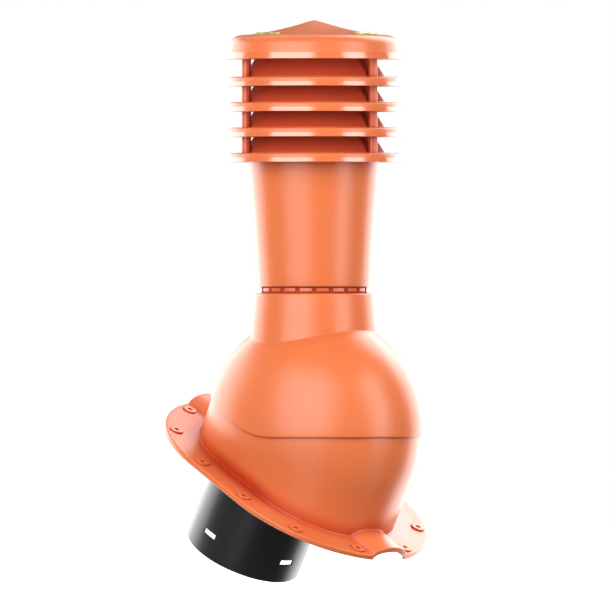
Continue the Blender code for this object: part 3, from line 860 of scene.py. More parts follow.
    def rings(self) -> dict[str, Any]:
        """Work out the quarter rings that every column of the moulding reads.

        Returns:
            Rings by name, each as (centre, points).
        """
        lines = self.hump_lines()
        flange = {inset: self.flange_quarter(inset) for inset in (
            0.0, self.edge_round, self.lip_round, 3 * self.lip_round, self.lip_thick,
            self.lip_thick - self.edge_round, self.hollow_inset)}
        count = len(flange[0.0])
        rises = [line[1] for line in lines] + [0.0] * (count - len(lines))
        walls = []
        for i in range(self.wall_steps + 1):
            share = i / self.wall_steps
            walls.append([])
            for k in range(count):
                low = self.lip_height + rises[k] + self.foot_fillet
                height = low + (self.ball_height - low) * share
                centre, ring = self.wall_quarter(height, 0.0)
                walls[-1].append((centre, ring[k], height))
        feet = []
        for k in range(count):
            height = self.lip_height + rises[k]
            centre, ring = self.wall_quarter(height, 0.0)
            feet.append((centre, ring[k], height))
        inner = []
        for i in range(self.wall_steps + 1):
            height = self.ball_height + (self.floor_height - self.ball_height) * i / self.wall_steps
            inner.append((height, *self.wall_quarter(height, self.bowl_wall)))
        return {"flange": flange, "rises": rises, "walls": walls, "feet": feet, "inner": inner}

    def column(self, rings: dict[str, Any], k: int, along: int, across: int) -> list[Vector]:
        """Closed section through the moulding at one place round it.

        Args:
            rings: What rings() gives.
            k: Number of the place within its quarter.
            along: 1 downhill, -1 uphill.
            across: 1 or -1, the side across the fall.

        Returns:
            Points over the lip, up the bowl, down its inside and back under the flange.
        """
        def spot(centre: float, point: Vector, height: float) -> Vector:
            """Place a quarter ring's point."""
            return Vector((centre + along * point.x, across * point.y, height))

        def flange(inset: float, height: float) -> Vector:
            """Place a point of the flange by its distance inside the edge."""
            return spot(self.flange_shift, rings["flange"][inset][k], height)

        rise = rings["rises"][k]
        away = rings["flange"][0.0][k].y
        top = self.lip_height + rise
        under = self.lip_height - self.plate_thick
        half_mouth = self.hump_half_width - self.lip_thick / 2
        mouth = self.hump_height * math.sqrt(max(0.0, 1 - (away / half_mouth) ** 2))
        half_hollow = self.hump_half_width - self.lip_thick
        hollow = under + self.hump_height * math.sqrt(max(0.0, 1 - (away / half_hollow) ** 2))
        inner_lip = self.lip_thick

        points = [flange(self.edge_round, mouth), flange(0.0, mouth + self.edge_round)]
        points += bend(flange(0.0, top - self.lip_round), flange(0.0, top),
                       flange(self.lip_round, top), CORNER_STEPS)
        points.append(flange(3 * self.lip_round, top))
        foot = spot(*rings["feet"][k])
        landing = foot + (points[-1] - foot).normalized() * self.foot_fillet
        wall = [spot(*row[k]) for row in rings["walls"]]
        points += bend(landing, foot, wall[0], FILLET_STEPS)
        points += wall[1:-1]

        centre, ring = self.wall_quarter(self.ball_height, 0.0)
        middle = ring[k]
        equator = Vector((along * middle.x / self.ball_radius,
                          middle.y / self.ball_half_width, 0.0)).normalized()
        share = 2 / math.pi * math.atan2(middle.y, middle.x)
        crown = self.crown_direction(share if along > 0 else 2 - share)
        for rows in (self.ball_rows(equator, crown, 0.0),
                     reversed(self.ball_rows(equator, crown, self.bowl_wall))):
            points += [Vector((row.x, across * row.y, row.z)) for row in rows]

        points += [spot(centre, ring[k], height) for height, centre, ring in rings["inner"][1:]]
        reach = Vector((points[-1].x, points[-1].y, 0.0))
        hole = reach.normalized() * self.duct_hole_radius
        points.append(Vector((*((reach + hole) / 2).xy, self.floor_height)))
        points.append(Vector((*hole.xy, self.floor_height)))
        points.append(Vector((*hole.xy, under)))
        points += [flange(self.hollow_inset, under), flange(self.hollow_inset, hollow)]
        points += [flange(inner_lip, hollow), flange(inner_lip, mouth + self.edge_round)]
        points.append(flange(inner_lip - self.edge_round, mouth))
        return points

    def moulding(self) -> bpy.types.Mesh:
        """Skin the columns all round the flange."""
        rings = self.rings()
        last = len(rings["rises"]) - 1
        columns = [self.column(rings, k, 1, 1) for k in range(last + 1)]
        columns += [self.column(rings, k, -1, 1) for k in range(last - 1, -1, -1)]
        columns += [self.column(rings, k, -1, -1) for k in range(1, last + 1)]
        columns += [self.column(rings, k, 1, -1) for k in range(last - 1, 0, -1)]
        return lattice("roof_flange_moulding", columns)

    def seat_path(self) -> bpy.types.Mesh:
        """Closed path that the screw seats follow, starting at its downhill end."""
        quarter = self.flange_quarter(self.seat_inset)
        half = quarter + [Vector((-spot.x, spot.y)) for spot in reversed(quarter[:-1])]
        ring = half + [Vector((spot.x, -spot.y)) for spot in reversed(half[1:-1])]
        path = bpy.data.meshes.new("screw_seat_path")
        path.from_pydata([(self.flange_shift + spot.x, spot.y, 0.0) for spot in ring],
                         [(i, (i + 1) % len(ring)) for i in range(len(ring))], [])
        return path

    def build(self) -> None:
        """Build the moulding with its seats and show it."""
        seat_top = self.lip_height + self.seat_rise
        seat = self.workshop.turned("screw_seat", softened([
            (self.screw_hole_radius, seat_top, self.seat_round),
            (self.seat_radius, seat_top, self.seat_round),
            (self.seat_radius, 0.0, 0.0),
            (self.screw_hole_radius, 0.0, 0.0)]), self.material, steps=self.seat_steps)
        middle = (self.screw_hole_radius + self.seat_radius) / 2
        piercing = self.workshop.turned("seat_piercing", [
            (0.0, seat_top), (middle, seat_top), (middle, -seat_top), (0.0, -seat_top)],
            self.material, closed=False, steps=self.piercing_steps)
        helpers = [self.workshop.helper(mesh) for mesh in (self.seat_path(), seat, piercing)]
        mesh = self.workshop.grow(self.moulding(), self.workshop.seats, {
            "Path": helpers[0], "Seat": helpers[1], "Piercing": helpers[2],
            "Count": 4 * self.seats_per_quarter, "Material": self.material})
        for item in helpers:
            bpy.data.objects.remove(item)
        show("roof_base_moulding", mesh, ROOF_TURN, Body.BASE, Slot.TERRACOTTA, ("roof_flange",))


@dataclass
class DuctPipe:
    """Black duct pipe that hangs square to the roof, with latch slots above its rim."""

    workshop: Workshop
    material: bpy.types.Material
    radius: float = 75.0 * MM
    wall: float = 2.5 * MM
    drop: float = 124.1 * MM
    seat: float = 7.3 * MM
    flange_reach: float = 10.0 * MM
    flange_thick: float = 3.0 * MM
    edge_round: float = 0.9 * MM
    slot_count: int = 4
    slot_width: float = 22.0 * MM
    slot_height: float = 7.2 * MM
    slot_above_rim: float = 29.0 * MM
    slot_round: float = 0.8 * MM

    def build(self) -> None:
        """Turn the pipe, cut its slots and show it."""
        top = self.seat + self.flange_thick
        pipe = self.workshop.turned("duct_wall", softened([
            (self.radius + self.flange_reach, top, self.edge_round),
            (self.radius + self.flange_reach, self.seat, self.edge_round),
            (self.radius, self.seat, 0.0),
            (self.radius, -self.drop, self.edge_round),
            (self.radius - self.wall, -self.drop, self.edge_round),
            (self.radius - self.wall, top, self.edge_round)]), self.material)
        cutter = self.workshop.helper(block(
            "duct_slot", (6 * self.wall, self.slot_width, self.slot_height), self.slot_round))
        step = math.tau / self.slot_count
        mesh = self.workshop.grow(pipe, self.workshop.rings[Repeat.CUT], {
            "Shape": cutter, "Count": self.slot_count, "Radius": self.radius,
            "Height": self.slot_above_rim - self.drop, "First Angle": 0.0, "Step Angle": step,
            "Material": self.material})
        bpy.data.objects.remove(cutter)
        show("duct_pipe_black", mesh, ROOF_TURN, Body.BASE, Slot.BLACK, ("duct_pipe",))


@dataclass
class BallShell:
    """Shell that rides on the bowl's ball, with the collar that takes the tube."""

    material: bpy.types.Material
    radius: float = 153.3 * MM
    half_width: float = 123.4 * MM
    wall: float = 2.2 * MM
    rim_drop: float = 4.5 * MM
    rim_rise_angle: float = math.radians(23.0)
    rim_bend_x: float = 18.0 * MM
    rim_bend_radius: float = 130.0 * MM
    rim_round: float = 0.6 * MM
    collar_top: float = 178.0 * MM
    collar_top_radius: float = 75.7 * MM
    collar_foot_height: float = 126.0 * MM
    collar_foot_radius: float = 80.6 * MM
    collar_wall: float = 4.0 * MM
    collar_lip_round: float = 3.0 * MM
    collar_fillet: float = 1.6 * MM
    ledge_top: float = 156.1 * MM
    ledge_reach: float = 6.5 * MM
    ledge_thick: float = 4.0 * MM
    round_steps: int = 288
    ball_steps: int = 40
    inner_steps: int = 14
    rim_search: tuple[float, float] = (math.radians(20.0), math.radians(110.0))
    collar_search: tuple[float, float] = (math.radians(8.0), math.radians(70.0))

    def rim_height(self, x: float) -> float:
        """Height of the rim at a place along the fall: level downhill, rising uphill.

        Args:
            x: Distance downhill from the ball's centre.

        Returns:
            Height above the ball's centre.
        """
        middle = self.rim_bend_x + self.rim_bend_radius * math.tan(self.rim_rise_angle / 2)
        if x >= middle:
            return -self.rim_drop
        if x >= middle - self.rim_bend_radius * math.sin(self.rim_rise_angle):
            rise = math.sqrt(self.rim_bend_radius ** 2 - (x - middle) ** 2)
            return self.rim_bend_radius - self.rim_drop - rise
        return math.tan(self.rim_rise_angle) * (self.rim_bend_x - x) - self.rim_drop

    def surface(self, fall: float, turn: float, inset: float) -> Vector:
        """Point on the ball.

        Args:
            fall: Angle down from straight up.
            turn: Angle round the vertical axis.
            inset: Distance inside the outer surface.

        Returns:
            The point about the ball's centre.
        """
        length = self.radius - inset
        return Vector((length * math.sin(fall) * math.cos(turn),
                       (self.half_width - inset) * math.sin(fall) * math.sin(turn),
                       length * math.cos(fall)))

    def rim_fall(self, turn: float, inset: float) -> float:
        """Angle down from straight up at which the ball meets the rim."""
        def gap(fall: float) -> float:
            """Height above the rim."""
            spot = self.surface(fall, turn, inset)
            return spot.z - self.rim_height(spot.x)
        return solved(gap, *self.rim_search)

    def collar_radius(self, height: float) -> float:
        """Outer radius of the collar at a height."""
        rise = self.collar_top - self.collar_foot_height
        slope = (self.collar_foot_radius - self.collar_top_radius) / rise
        return self.collar_top_radius + slope * (self.collar_top - height)

    def column(self, turn: float) -> list[Vector]:
        """Closed section through the shell at one place round it.

        Args:
            turn: Angle round the vertical axis on the ball's own scale.

        Returns:
            Points from the rim up the outside, over the collar and down the inside.
        """
        rim = self.rim_fall(turn, 0.0)
        inner_rim = self.rim_fall(turn, self.wall)
        meet = solved(lambda a: self.surface(a, turn, 0.0).xy.length - self.collar_radius(
            self.surface(a, turn, 0.0).z), *self.collar_search)
        back = self.collar_fillet / self.radius
        round_off = self.rim_round / self.radius
        points = bend(self.surface(rim, turn, self.rim_round), self.surface(rim, turn, 0.0),
                      self.surface(rim - round_off, turn, 0.0), RIM_STEPS)
        start, end = rim - round_off, meet + back
        points += [self.surface(start + (end - start) * i / self.ball_steps, turn, 0.0)
                   for i in range(1, self.ball_steps)]

        corner = self.surface(meet, turn, 0.0)
        facing = corner.xy.normalized()

        def ring(radius: float, height: float) -> Vector:
            """Place a point of the collar by its radius and height."""
            return Vector((*(facing * radius), height))

        low = corner.z + self.collar_fillet
        points += bend(self.surface(end, turn, 0.0), corner,
                       ring(self.collar_radius(low), low), FILLET_STEPS)
        lip = self.collar_top - self.collar_lip_round
        points.append(ring(self.collar_radius((low + lip) / 2), (low + lip) / 2))
        top = self.collar_top_radius
        points += bend(ring(self.collar_radius(lip), lip), ring(top, self.collar_top),
                       ring(top - self.collar_lip_round, self.collar_top), CORNER_STEPS)
        bore = top - self.collar_wall
        ledge_under = self.ledge_top - self.ledge_thick
        wide = bore + self.ledge_thick
        narrow = bore - self.ledge_reach
        points += [ring(bore, self.collar_top - self.rim_round), ring(bore, self.ledge_top),
                   ring(narrow, self.ledge_top), ring(narrow, ledge_under),
                   ring(wide, ledge_under - self.ledge_thick)]
        inner_turn = math.atan2(facing.y / (self.half_width - self.wall),
                                facing.x / (self.radius - self.wall))
        inside = solved(lambda a: self.surface(a, inner_turn, self.wall).xy.length - wide,
                        *self.collar_search)
        spread = (turn - inner_turn + math.pi) % math.tau - math.pi
        for i in range(self.inner_steps + 1):
            share = i / self.inner_steps
            points.append(self.surface(inside + (inner_rim - inside) * share,
                                       inner_turn + spread * share, self.wall))
        return points

    def build(self) -> None:
        """Skin the shell and show it."""
        mesh = lattice("ball_shell_moulding", [
            self.column(math.tau * i / self.round_steps) for i in range(self.round_steps)])
        mesh.materials.append(self.material)
        show("ball_shell_moulding", mesh, Matrix.Translation(BALL_CENTRE), Body.STACK,
             Slot.TERRACOTTA, ("ball_shell",))


@dataclass
class VentTube:
    """Flared tube with a notched spigot in the collar and a head under the lowest ring."""

    workshop: Workshop
    material: bpy.types.Material
    groove_shade_material: bpy.types.Material
    bottom: float = 186.4 * MM
    length: float = 158.1 * MM
    bottom_radius: float = 71.6 * MM
    top_radius: float = 82.9 * MM
    evenness: float = 0.69
    wall: float = 2.5 * MM
    spigot_radius: float = 68.7 * MM
    spigot_wall: float = 3.0 * MM
    spigot_length: float = 30.0 * MM
    notch_count: int = 20
    notch_width: float = 6.0 * MM
    notch_depth: float = 1.5 * MM
    notch_length: float = 20.0 * MM
    notch_round: float = 0.4 * MM
    head_top: float = 353.4 * MM
    head_thick: float = 3.0 * MM
    head_radius: float = 102.3 * MM
    groove_depth: float = 1.6 * MM
    upper_groove: tuple[float, float] = (0.0, 1.7 * MM)
    lower_groove: tuple[float, float] = (6.1 * MM, 8.6 * MM)
    edge_round: float = 0.8 * MM
    joint_round: float = 1.2 * MM
    shoulder_round: float = 4.0 * MM
    flare_steps: int = 10

    def radius_at(self, height: float) -> float:
        """Outer radius of the tube, which flares a little faster towards its top."""
        share = (height - self.bottom) / self.length
        flare = share * (self.evenness + (1.0 - self.evenness) * share)
        return self.bottom_radius + (self.top_radius - self.bottom_radius) * flare

    def build(self) -> None:
        """Turn the tube, cut its notches and show it."""
        under = self.head_top - self.head_thick
        shares = [i / self.flare_steps for i in range(self.flare_steps + 1)]
        outside = [(self.radius_at(z), z, self.joint_round)
                   for z in (under + (self.bottom - under) * s for s in shares)]
        outside[0] = (outside[0][0], under, self.shoulder_round)
        step_top = self.bottom + self.wall + self.spigot_wall
        inside = [(self.radius_at(z) - self.wall, z, 0.0)
                  for z in (step_top + (self.head_top - step_top) * s for s in shares)]
        bore = self.spigot_radius - self.spigot_wall
        end = self.bottom - self.spigot_length
        deep = self.spigot_radius - self.groove_depth
        neck = [(radius, self.bottom - drop, 0.0)
                for groove in (self.upper_groove, self.lower_groove)
                for drop, radii in zip(groove, ((self.spigot_radius, deep), (deep, self.spigot_radius)))
                for radius in radii][1:]
        tube = self.workshop.turned("vent_tube_wall", softened([
            (self.head_radius, self.head_top, self.edge_round),
            (self.head_radius, under, self.edge_round), *outside,
            *neck, (self.spigot_radius, end, self.edge_round),
            (bore, end, self.edge_round), (bore, self.bottom + self.wall, 0.0), *inside]),
            self.material)
        notch = (2 * self.notch_depth, self.notch_width, self.notch_length)
        cutter = self.workshop.helper(block("spigot_notch", notch, self.notch_round))
        step = math.tau / self.notch_count
        mesh = self.workshop.grow(tube, self.workshop.rings[Repeat.CUT], {
            "Shape": cutter, "Count": self.notch_count, "Radius": self.spigot_radius,
            "Height": self.bottom - self.notch_length / 2, "First Angle": step / 2,
            "Step Angle": step, "Material": self.material})
        bpy.data.objects.remove(cutter)
        # Painted shade: the spigot's grooves, notch floors and end get the darker terracotta copy,
        # where shade falls.
        shallow = self.spigot_radius - self.groove_depth / 8
        refinish(mesh, self.groove_shade_material,
                 lambda radius, height: bore < radius < shallow and height < self.bottom)
        show("vent_tube_moulding", mesh, Matrix.Translation(BALL_CENTRE), Body.STACK,
             Slot.TERRACOTTA, ("vent_tube",))


@dataclass
class LouvreRings:
    """Four like rings: a beaded brim, a cone that leans in behind the next one, and three posts."""

    workshop: Workshop
    material: bpy.types.Material
    bead_material: bpy.types.Material
    cone_shade_material: bpy.types.Material
    count: int = 4
    foot: float = 344.5 * MM
    pitch: float = 32.2 * MM
    radius: float = 109.0 * MM
    height: float = 11.7 * MM
    wall: float = 2.5 * MM
    brim_round: float = 5.0 * MM
    bead_height: float = 5.8 * MM
    bead_reach: float = 1.2 * MM
    cone_foot_radius: float = 89.7 * MM
    cone_slope: float = math.radians(58.0)
    cone_height: float = 22.9 * MM
    post_circle: float = 93.3 * MM
    post_radius: float = 6.0 * MM
    post_first_angle: float = math.radians(7.7)
    post_count: int = 3
    post_gap: float = 0.3 * MM
    post_steps: int = 40
    edge_round: float = 0.8 * MM
    cone_foot_round: float = 1.2 * MM
    bead_rounds: tuple[float, float, float] = (1.0 * MM, 0.9 * MM, 0.6 * MM)

    def profile(self) -> Profile:
        """Section through a ring, heights above its foot.

        Returns:
            The closed profile's points.
        """
        lean = 1.0 / math.tan(self.cone_slope)
        thick = self.wall / math.sin(self.cone_slope)
        under = self.height - self.wall
        cone_top = self.height + self.cone_height
        narrow = self.cone_foot_radius - self.cone_height * lean
        neck = self.radius - self.bead_reach
        bead_top, bead_foot, bead_inside = self.bead_rounds
        return softened([
            (narrow, cone_top, self.edge_round),
            (self.cone_foot_radius, self.height, self.cone_foot_round),
            (neck, self.height, self.brim_round), (neck, self.bead_height, bead_top),
            (self.radius, 0.0, bead_foot), (self.radius - self.wall, 0.0, bead_inside),
            (neck - self.wall, under, self.brim_round / 2),
            (self.cone_foot_radius + self.wall * lean - thick, under, self.edge_round),
            (narrow - thick, cone_top, self.edge_round)])

    def build(self) -> None:
        """Turn a ring, set its posts, and show it four times."""
        brim = self.workshop.turned("louvre_ring", self.profile(), self.material)
        low = self.height - self.wall / 2
        high = self.pitch + self.height - self.wall - self.post_gap
        post = self.workshop.helper(self.workshop.turned("ring_post", softened([
            (0.0, high, 0.0), (self.post_radius, high, 0.6 * MM), (self.post_radius, low, 0.0),
            (0.0, low, 0.0)], closed=False), self.material, closed=False, steps=self.post_steps))
        ring = self.workshop.grow(brim, self.workshop.rings[Repeat.JOIN], {
            "Shape": post, "Count": self.post_count, "Radius": self.post_circle, "Height": 0.0,
            "First Angle": self.post_first_angle, "Step Angle": math.tau / self.post_count,
            "Material": self.material})
        bpy.data.objects.remove(post)
        refinish(ring, self.bead_material, lambda radius, height: (
            radius > self.radius - self.wall and height < self.bead_height))
        # Painted shade: the cones and the brim's underside, in the gaps between rings, get the darker
        # terracotta copy.
        refinish(ring, self.cone_shade_material,
                 lambda radius, height: radius < self.cone_foot_radius - self.wall
                 or radius < self.radius - self.wall and height < self.height - self.wall / 2)
        for i in range(self.count):
            foot = Vector((0.0, 0.0, self.foot + i * self.pitch))
            place = Matrix.Translation(BALL_CENTRE + foot)
            show(f"louvre_ring_moulding_{i + 1}", ring.copy(), place, Body.STACK, Slot.TERRACOTTA,
                 (f"louvre_ring_{i + 1}",))


@dataclass
class Cap:
    """Peaked cap with a beaded skirt and a pocket for each level vial."""

    workshop: Workshop
    material: bpy.types.Material
    bead_material: bpy.types.Material
    bottom: float = 475.5 * MM
    radius: float = 111.0 * MM
    bead_height: float = 8.3 * MM
    bead_reach: float = 1.9 * MM
    shoulder_radius: float = 107.5 * MM
    cone_radius: float = 90.0 * MM
    skirt_height: float = 17.0 * MM
    shoulder_height: float = 13.8 * MM
    peak_height: float = 19.5 * MM
    peak_power: float = 1.54
    tip_round: float = 2.5 * MM
    wall: float = 3.0 * MM
    vial_circle: float = 82.7 * MM
    vial_first_angle: float = math.radians(-90.3)
    vial_step_angle: float = math.radians(97.4)
    vial_radius: float = 3.2 * MM
    vial_length: float = 40.0 * MM
    vial_sink: float = 0.7 * MM
    vial_gap: float = 0.3 * MM
    pad_margin: float = 3.0 * MM
    pad_thick: float = 2.5 * MM
    boss_radius: float = 6.0 * MM
    boss_circle: float = 93.3 * MM
    boss_first_angle: float = math.radians(7.7)
    boss_low: float = 6.5 * MM
    boss_count: int = 3
    peak_steps: int = 24
    shoulder_steps: int = 12
    round_steps: int = 40
    pad_round: float = 0.8 * MM
    bead_rounds: tuple[float, float, float] = (1.2 * MM, 1.0 * MM, 0.7 * MM)

    def top_height(self, radius: float) -> float:
        """Height of the cap's top above its bottom edge, out to its shoulder.

        Args:
            radius: Distance from the axis.

        Returns:
            The height.
        """
        share = max(0.0, 1.0 - math.hypot(radius, self.tip_round) / self.cone_radius)
        return self.skirt_height + self.shoulder_height + self.peak_height * share ** self.peak_power

    def profile(self) -> Profile:
        """Section through the cap, from its tip over the skirt and back inside.

        Returns:
            The open profile's points.
        """
        radii = [self.cone_radius * i / self.peak_steps for i in range(self.peak_steps)]
        points = [(radius, self.top_height(radius)) for radius in radii]
        angles = [math.pi / 2 * (1 - i / self.shoulder_steps) for i in range(self.shoulder_steps + 1)]
        width = self.shoulder_radius - self.cone_radius
        points += [(self.cone_radius + width * math.cos(a),
                    self.skirt_height + self.shoulder_height * math.sin(a)) for a in angles]
        bead_top, bead_foot, bead_inside = self.bead_rounds
        points += softened([
            (*points[-1], 0.0), (self.radius - self.bead_reach, self.bead_height, bead_top),
            (self.radius, 0.0, bead_foot), (self.radius - self.wall, 0.0, bead_inside),
            (self.shoulder_radius - self.wall, self.skirt_height, 0.0)], closed=False)[1:]
        points += [(self.cone_radius + (width - self.wall) * math.cos(a),
                    self.skirt_height + (self.shoulder_height - self.wall) * math.sin(a))
                   for a in reversed(angles[:-1])]
        points += [(radius, self.top_height(radius) - self.wall) for radius in reversed(radii)]
        return points

    def vial_height(self) -> float:
        """Height of the vials' axes above the cap's bottom edge."""
        return self.top_height(self.vial_circle) - self.vial_sink

    def build(self) -> None:
        """Turn the cap, give it its bosses, pads and pockets, and show it."""
        mesh = self.workshop.turned("cap_wall", self.profile(), self.material, closed=False)
        pocket_radius = self.vial_radius + self.vial_gap
        pocket_length = self.vial_length + 2 * self.vial_gap
        pad_top = self.top_height(self.vial_circle) - self.wall / 2
        pad_low = self.vial_height() - pocket_radius - self.pad_thick
        pad = block("vial_pad", (2 * (pocket_radius + self.pad_margin),
                                 pocket_length + 2 * self.pad_margin, pad_top - pad_low),
                    self.pad_round)
        boss_high = self.skirt_height + self.shoulder_height - self.wall / 2
        boss = self.workshop.turned("cap_boss", [
            (0.0, boss_high), (self.boss_radius, boss_high), (self.boss_radius, self.boss_low),
            (0.0, self.boss_low)], self.material, closed=False, steps=self.round_steps)
        pocket = self.workshop.turned("vial_pocket", [
            (0.0, pocket_length / 2), (pocket_radius, pocket_length / 2),
            (pocket_radius, -pocket_length / 2), (0.0, -pocket_length / 2)],
            self.material, closed=False, steps=self.round_steps)
        pocket.transform(Matrix.Rotation(math.pi / 2, 4, "X"))
        third = math.tau / self.boss_count
        for shape, repeat, count, circle, height, first, step in (
                (pad, Repeat.JOIN, 2, self.vial_circle, (pad_top + pad_low) / 2,
                 self.vial_first_angle, self.vial_step_angle),
                (boss, Repeat.JOIN, self.boss_count, self.boss_circle, 0.0,
                 self.boss_first_angle, third),
                (pocket, Repeat.CUT, 2, self.vial_circle, self.vial_height(),
                 self.vial_first_angle, self.vial_step_angle)):
            helper = self.workshop.helper(shape)
            mesh = self.workshop.grow(mesh, self.workshop.rings[repeat], {
                "Shape": helper, "Count": count, "Radius": circle, "Height": height,
                "First Angle": first, "Step Angle": step, "Material": self.material})
            bpy.data.objects.remove(helper)
        refinish(mesh, self.bead_material, lambda radius, height: (
            radius > self.radius - self.wall and height < self.bead_height))
        place = Matrix.Translation(BALL_CENTRE + Vector((0.0, 0.0, self.bottom)))
        show("cap_moulding", mesh, place, Body.STACK, Slot.TERRACOTTA, ("cap",))


@dataclass
class LevelVials:
    """Two spirit level vials that lie across the cap's slope, 97 degrees apart."""

    workshop: Workshop
    cap: Cap
    fluid: bpy.types.Material
    acrylic: bpy.types.Material
    ink: bpy.types.Material
    tube_wall: float = 0.3 * MM
    end_round: float = 1.2 * MM
    mark_width: float = 0.8 * MM
    mark_rise: float = 0.05 * MM
    mark_spread: float = 5.4 * MM
    mark_count: int = 2
    round_steps: int = 48

    def build(self) -> None:
        """Turn the tube, its fluid and its marks, and show both vials."""
        half = self.cap.vial_length / 2
        radius = self.cap.vial_radius
        tube = softened([
            (0.0, half, 0.0), (radius, half, self.end_round), (radius, -half, self.end_round),
            (0.0, -half, 0.0)], closed=False)
        inner = radius - self.tube_wall
        end = half - 2 * self.tube_wall
        core = softened([
            (0.0, end, 0.0), (inner, end, self.end_round), (inner, -end, self.end_round),
            (0.0, -end, 0.0)], closed=False)
        mark_inside, mark_outside = radius - self.tube_wall / 2, radius + self.mark_rise
        edge = self.mark_width / 2
        mark = [(mark_inside, edge), (mark_outside, edge), (mark_outside, -edge),
                (mark_inside, -edge)]
        for i in range(2):
            angle = self.cap.vial_first_angle + i * self.cap.vial_step_angle
            place = (Matrix.Translation(BALL_CENTRE + Vector((0.0, 0.0, self.cap.bottom)))
                     @ Matrix.Rotation(angle, 4, "Z")
                     @ Matrix.Translation((self.cap.vial_circle, 0.0, self.cap.vial_height()))
                     @ Matrix.Rotation(math.pi / 2, 4, "X"))
            glass = self.workshop.turned(
                "vial_tube", tube, self.acrylic, closed=False, steps=self.round_steps)
            show(f"level_vial_tube_{i + 1}", glass, place, Body.STACK, Slot.VIAL,
                 (f"level_vial_{i + 1}",))
            fluid = self.workshop.turned(
                "vial_fluid", core, self.fluid, closed=False, steps=self.round_steps)
            show(f"level_vial_fluid_{i + 1}", fluid, place, Body.STACK, Slot.VIAL)
            ring = self.workshop.turned("vial_mark", mark, self.ink, steps=self.round_steps)
            marks = self.workshop.grow(ring, self.workshop.row, {
                "Count": self.mark_count, "Start": (0.0, 0.0, -self.mark_spread / 2),
                "Step": (0.0, 0.0, self.mark_spread), "Material": self.ink})
            show(f"level_vial_marks_{i + 1}", marks, place, Body.STACK, Slot.BLACK)


@dataclass
class Softbox:
    """Area light, placed by where it stands as seen from the camera."""

    name: str
    azimuth: float
    elevation: float
    distance: float
    size: tuple[float, float]
    power: float
    colour: str = "#FFFFFF"


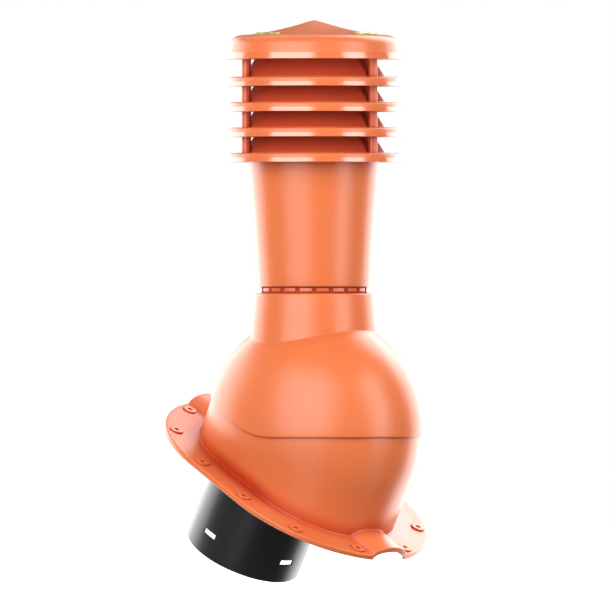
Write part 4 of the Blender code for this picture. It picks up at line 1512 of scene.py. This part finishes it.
@dataclass
class Studio:
    """Pale floor, soft light and a long lens at the photograph's level angle."""

    camera_azimuth: float = math.radians(45.0)
    frame_width: float = 783.6 * MM
    look_at: Vector = field(default_factory=lambda: Vector((27.654, 27.654, 204.495)) * MM)
    lens: float = 1600.0
    sensor: float = 36.0
    floor_half: float = 6.0
    backdrop: str = "#FFFFFF"
    room_glow: float = 0.09
    boxes: tuple[Softbox, ...] = (
        Softbox("key", -31.0, 21.0, 2.2, (2.2, 2.3), 70.0),
        Softbox("key_low", -31.0, -24.0, 2.2, (0.9, 1.6), 4.8),
        Softbox("fill", 55.0, 19.0, 2.2, (1.1, 2.3), 38.0),
        Softbox("fill_low", 55.0, -24.0, 2.2, (0.8, 1.6), 4.2),
        Softbox("left_rim", -136.0, -4.0, 1.8, (2.0, 2.5), 62.0),
        Softbox("right_rim", 140.0, -4.0, 1.8, (1.7, 2.5), 54.0),
        Softbox("roof_sheen", 143.0, 42.0, 4.0, (2.4, 2.2), 88.0),
        Softbox("peak_sheen", -172.0, 62.0, 2.0, (1.8, 1.2), 8.0),
    )

    def towards(self, azimuth: float, elevation: float) -> Vector:
        """Direction from the object, by angles as seen from the camera.

        Args:
            azimuth: Degrees to the camera's right of the camera itself.
            elevation: Degrees above level.

        Returns:
            The unit direction.
        """
        turn = self.camera_azimuth + math.radians(azimuth)
        rise = math.radians(elevation)
        return Vector((math.sin(turn) * math.cos(rise), -math.cos(turn) * math.cos(rise),
                       math.sin(rise)))

    def add_camera(self) -> None:
        """Set a long lens far away, so that level edges stay straight as in the photograph."""
        data = bpy.data.cameras.new("long_lens")
        data.lens = self.lens
        data.sensor_width = self.sensor
        distance = self.frame_width * self.lens / self.sensor
        data.clip_start, data.clip_end = 1.0, 3 * distance
        camera = bpy.data.objects.new("long_lens", data)
        back = self.towards(0.0, 0.0)
        camera.location = self.look_at + back * distance
        camera.rotation_mode = "QUATERNION"
        camera.rotation_quaternion = (-back).to_track_quat("-Z", "Y")
        bpy.context.scene.collection.objects.link(camera)
        bpy.context.scene.camera = camera

    def add_lights(self) -> None:
        """Hang the softboxes round the object."""
        for box in self.boxes:
            data = bpy.data.lights.new(box.name, "AREA")
            data.shape = "RECTANGLE"
            data.size, data.size_y = box.size
            data.energy = box.power
            data.color = linear(box.colour)[:3]
            light = bpy.data.objects.new(box.name, data)
            facing = self.towards(box.azimuth, box.elevation)
            light.location = self.look_at + facing * box.distance
            light.rotation_mode = "QUATERNION"
            light.rotation_quaternion = facing.to_track_quat("Z", "Y")
            light.visible_camera = False
            bpy.context.scene.collection.objects.link(light)

    def add_surroundings(self) -> None:
        """Show a white backdrop, and fill in with a dim room."""
        world = bpy.data.worlds.new("pale_room")
        bpy.context.scene.world = world
        world.use_nodes = True
        tree = world.node_tree
        tree.nodes.clear()
        room = add_node(tree, "ShaderNodeBackground", {}, {
            "Color": linear(self.backdrop), "Strength": self.room_glow})
        seen = add_node(tree, "ShaderNodeBackground", {}, {
            "Color": linear(self.backdrop), "Strength": 1.0})
        choice = add_node(tree, "ShaderNodeMixShader", {}, {
            0: out(add_node(tree, "ShaderNodeLightPath"), "Is Camera Ray"),
            1: out(room, "Background"), 2: out(seen, "Background")})
        add_node(tree, "ShaderNodeOutputWorld", {}, {"Surface": out(choice, "Shader")})

    def add_floor(self, height: float) -> None:
        """Lay a pale floor just under the object.

        Args:
            height: The floor's height.
        """
        bm = bmesh.new()
        bmesh.ops.create_grid(bm, x_segments=4, y_segments=4, size=self.floor_half,
                              matrix=Matrix.Translation((0.0, 0.0, height)))
        mesh = bpy.data.meshes.new("studio_floor")
        bm.to_mesh(mesh)
        bm.free()
        mesh.materials.append(StudioPaper().material())
        floor = bpy.data.objects.new("studio_floor", mesh)
        bpy.context.scene.collection.objects.link(floor)
        floor.visible_diffuse = floor.visible_glossy = floor.visible_shadow = False

    def build(self) -> None:
        """Set up the camera, the light and the floor."""
        self.add_camera()
        self.add_lights()
        self.add_surroundings()
        self.add_floor(cad_box[0].z - 1.0 * MM)
        bpy.context.scene.view_settings.view_transform = "Standard"


def main() -> None:
    """Build every sub-assembly in order."""
    logging.basicConfig(level=logging.INFO, format="%(message)s")
    workshop = Workshop()
    terracotta = TERRACOTTA_ASA.material()
    RoofBase(workshop, terracotta).build()
    DuctPipe(workshop, BLACK_POLYPROPYLENE.material()).build()
    BallShell(terracotta).build()
    # Painted shade: the darker terracotta copy for the shaded louvre cones and spigot grooves.
    core = TERRACOTTA_PAINTED_SHADE.material()
    VentTube(workshop, terracotta, core).build()
    polished = TERRACOTTA_POLISHED.material()
    LouvreRings(workshop, terracotta, polished, core).build()
    cap = Cap(workshop, terracotta, polished)
    cap.build()
    LevelVials(workshop, cap, VialFluid().material(), ClearAcrylic().material(),
               BLACK_INK.material()).build()
    Studio().build()


if __name__ == "__main__":
    main()
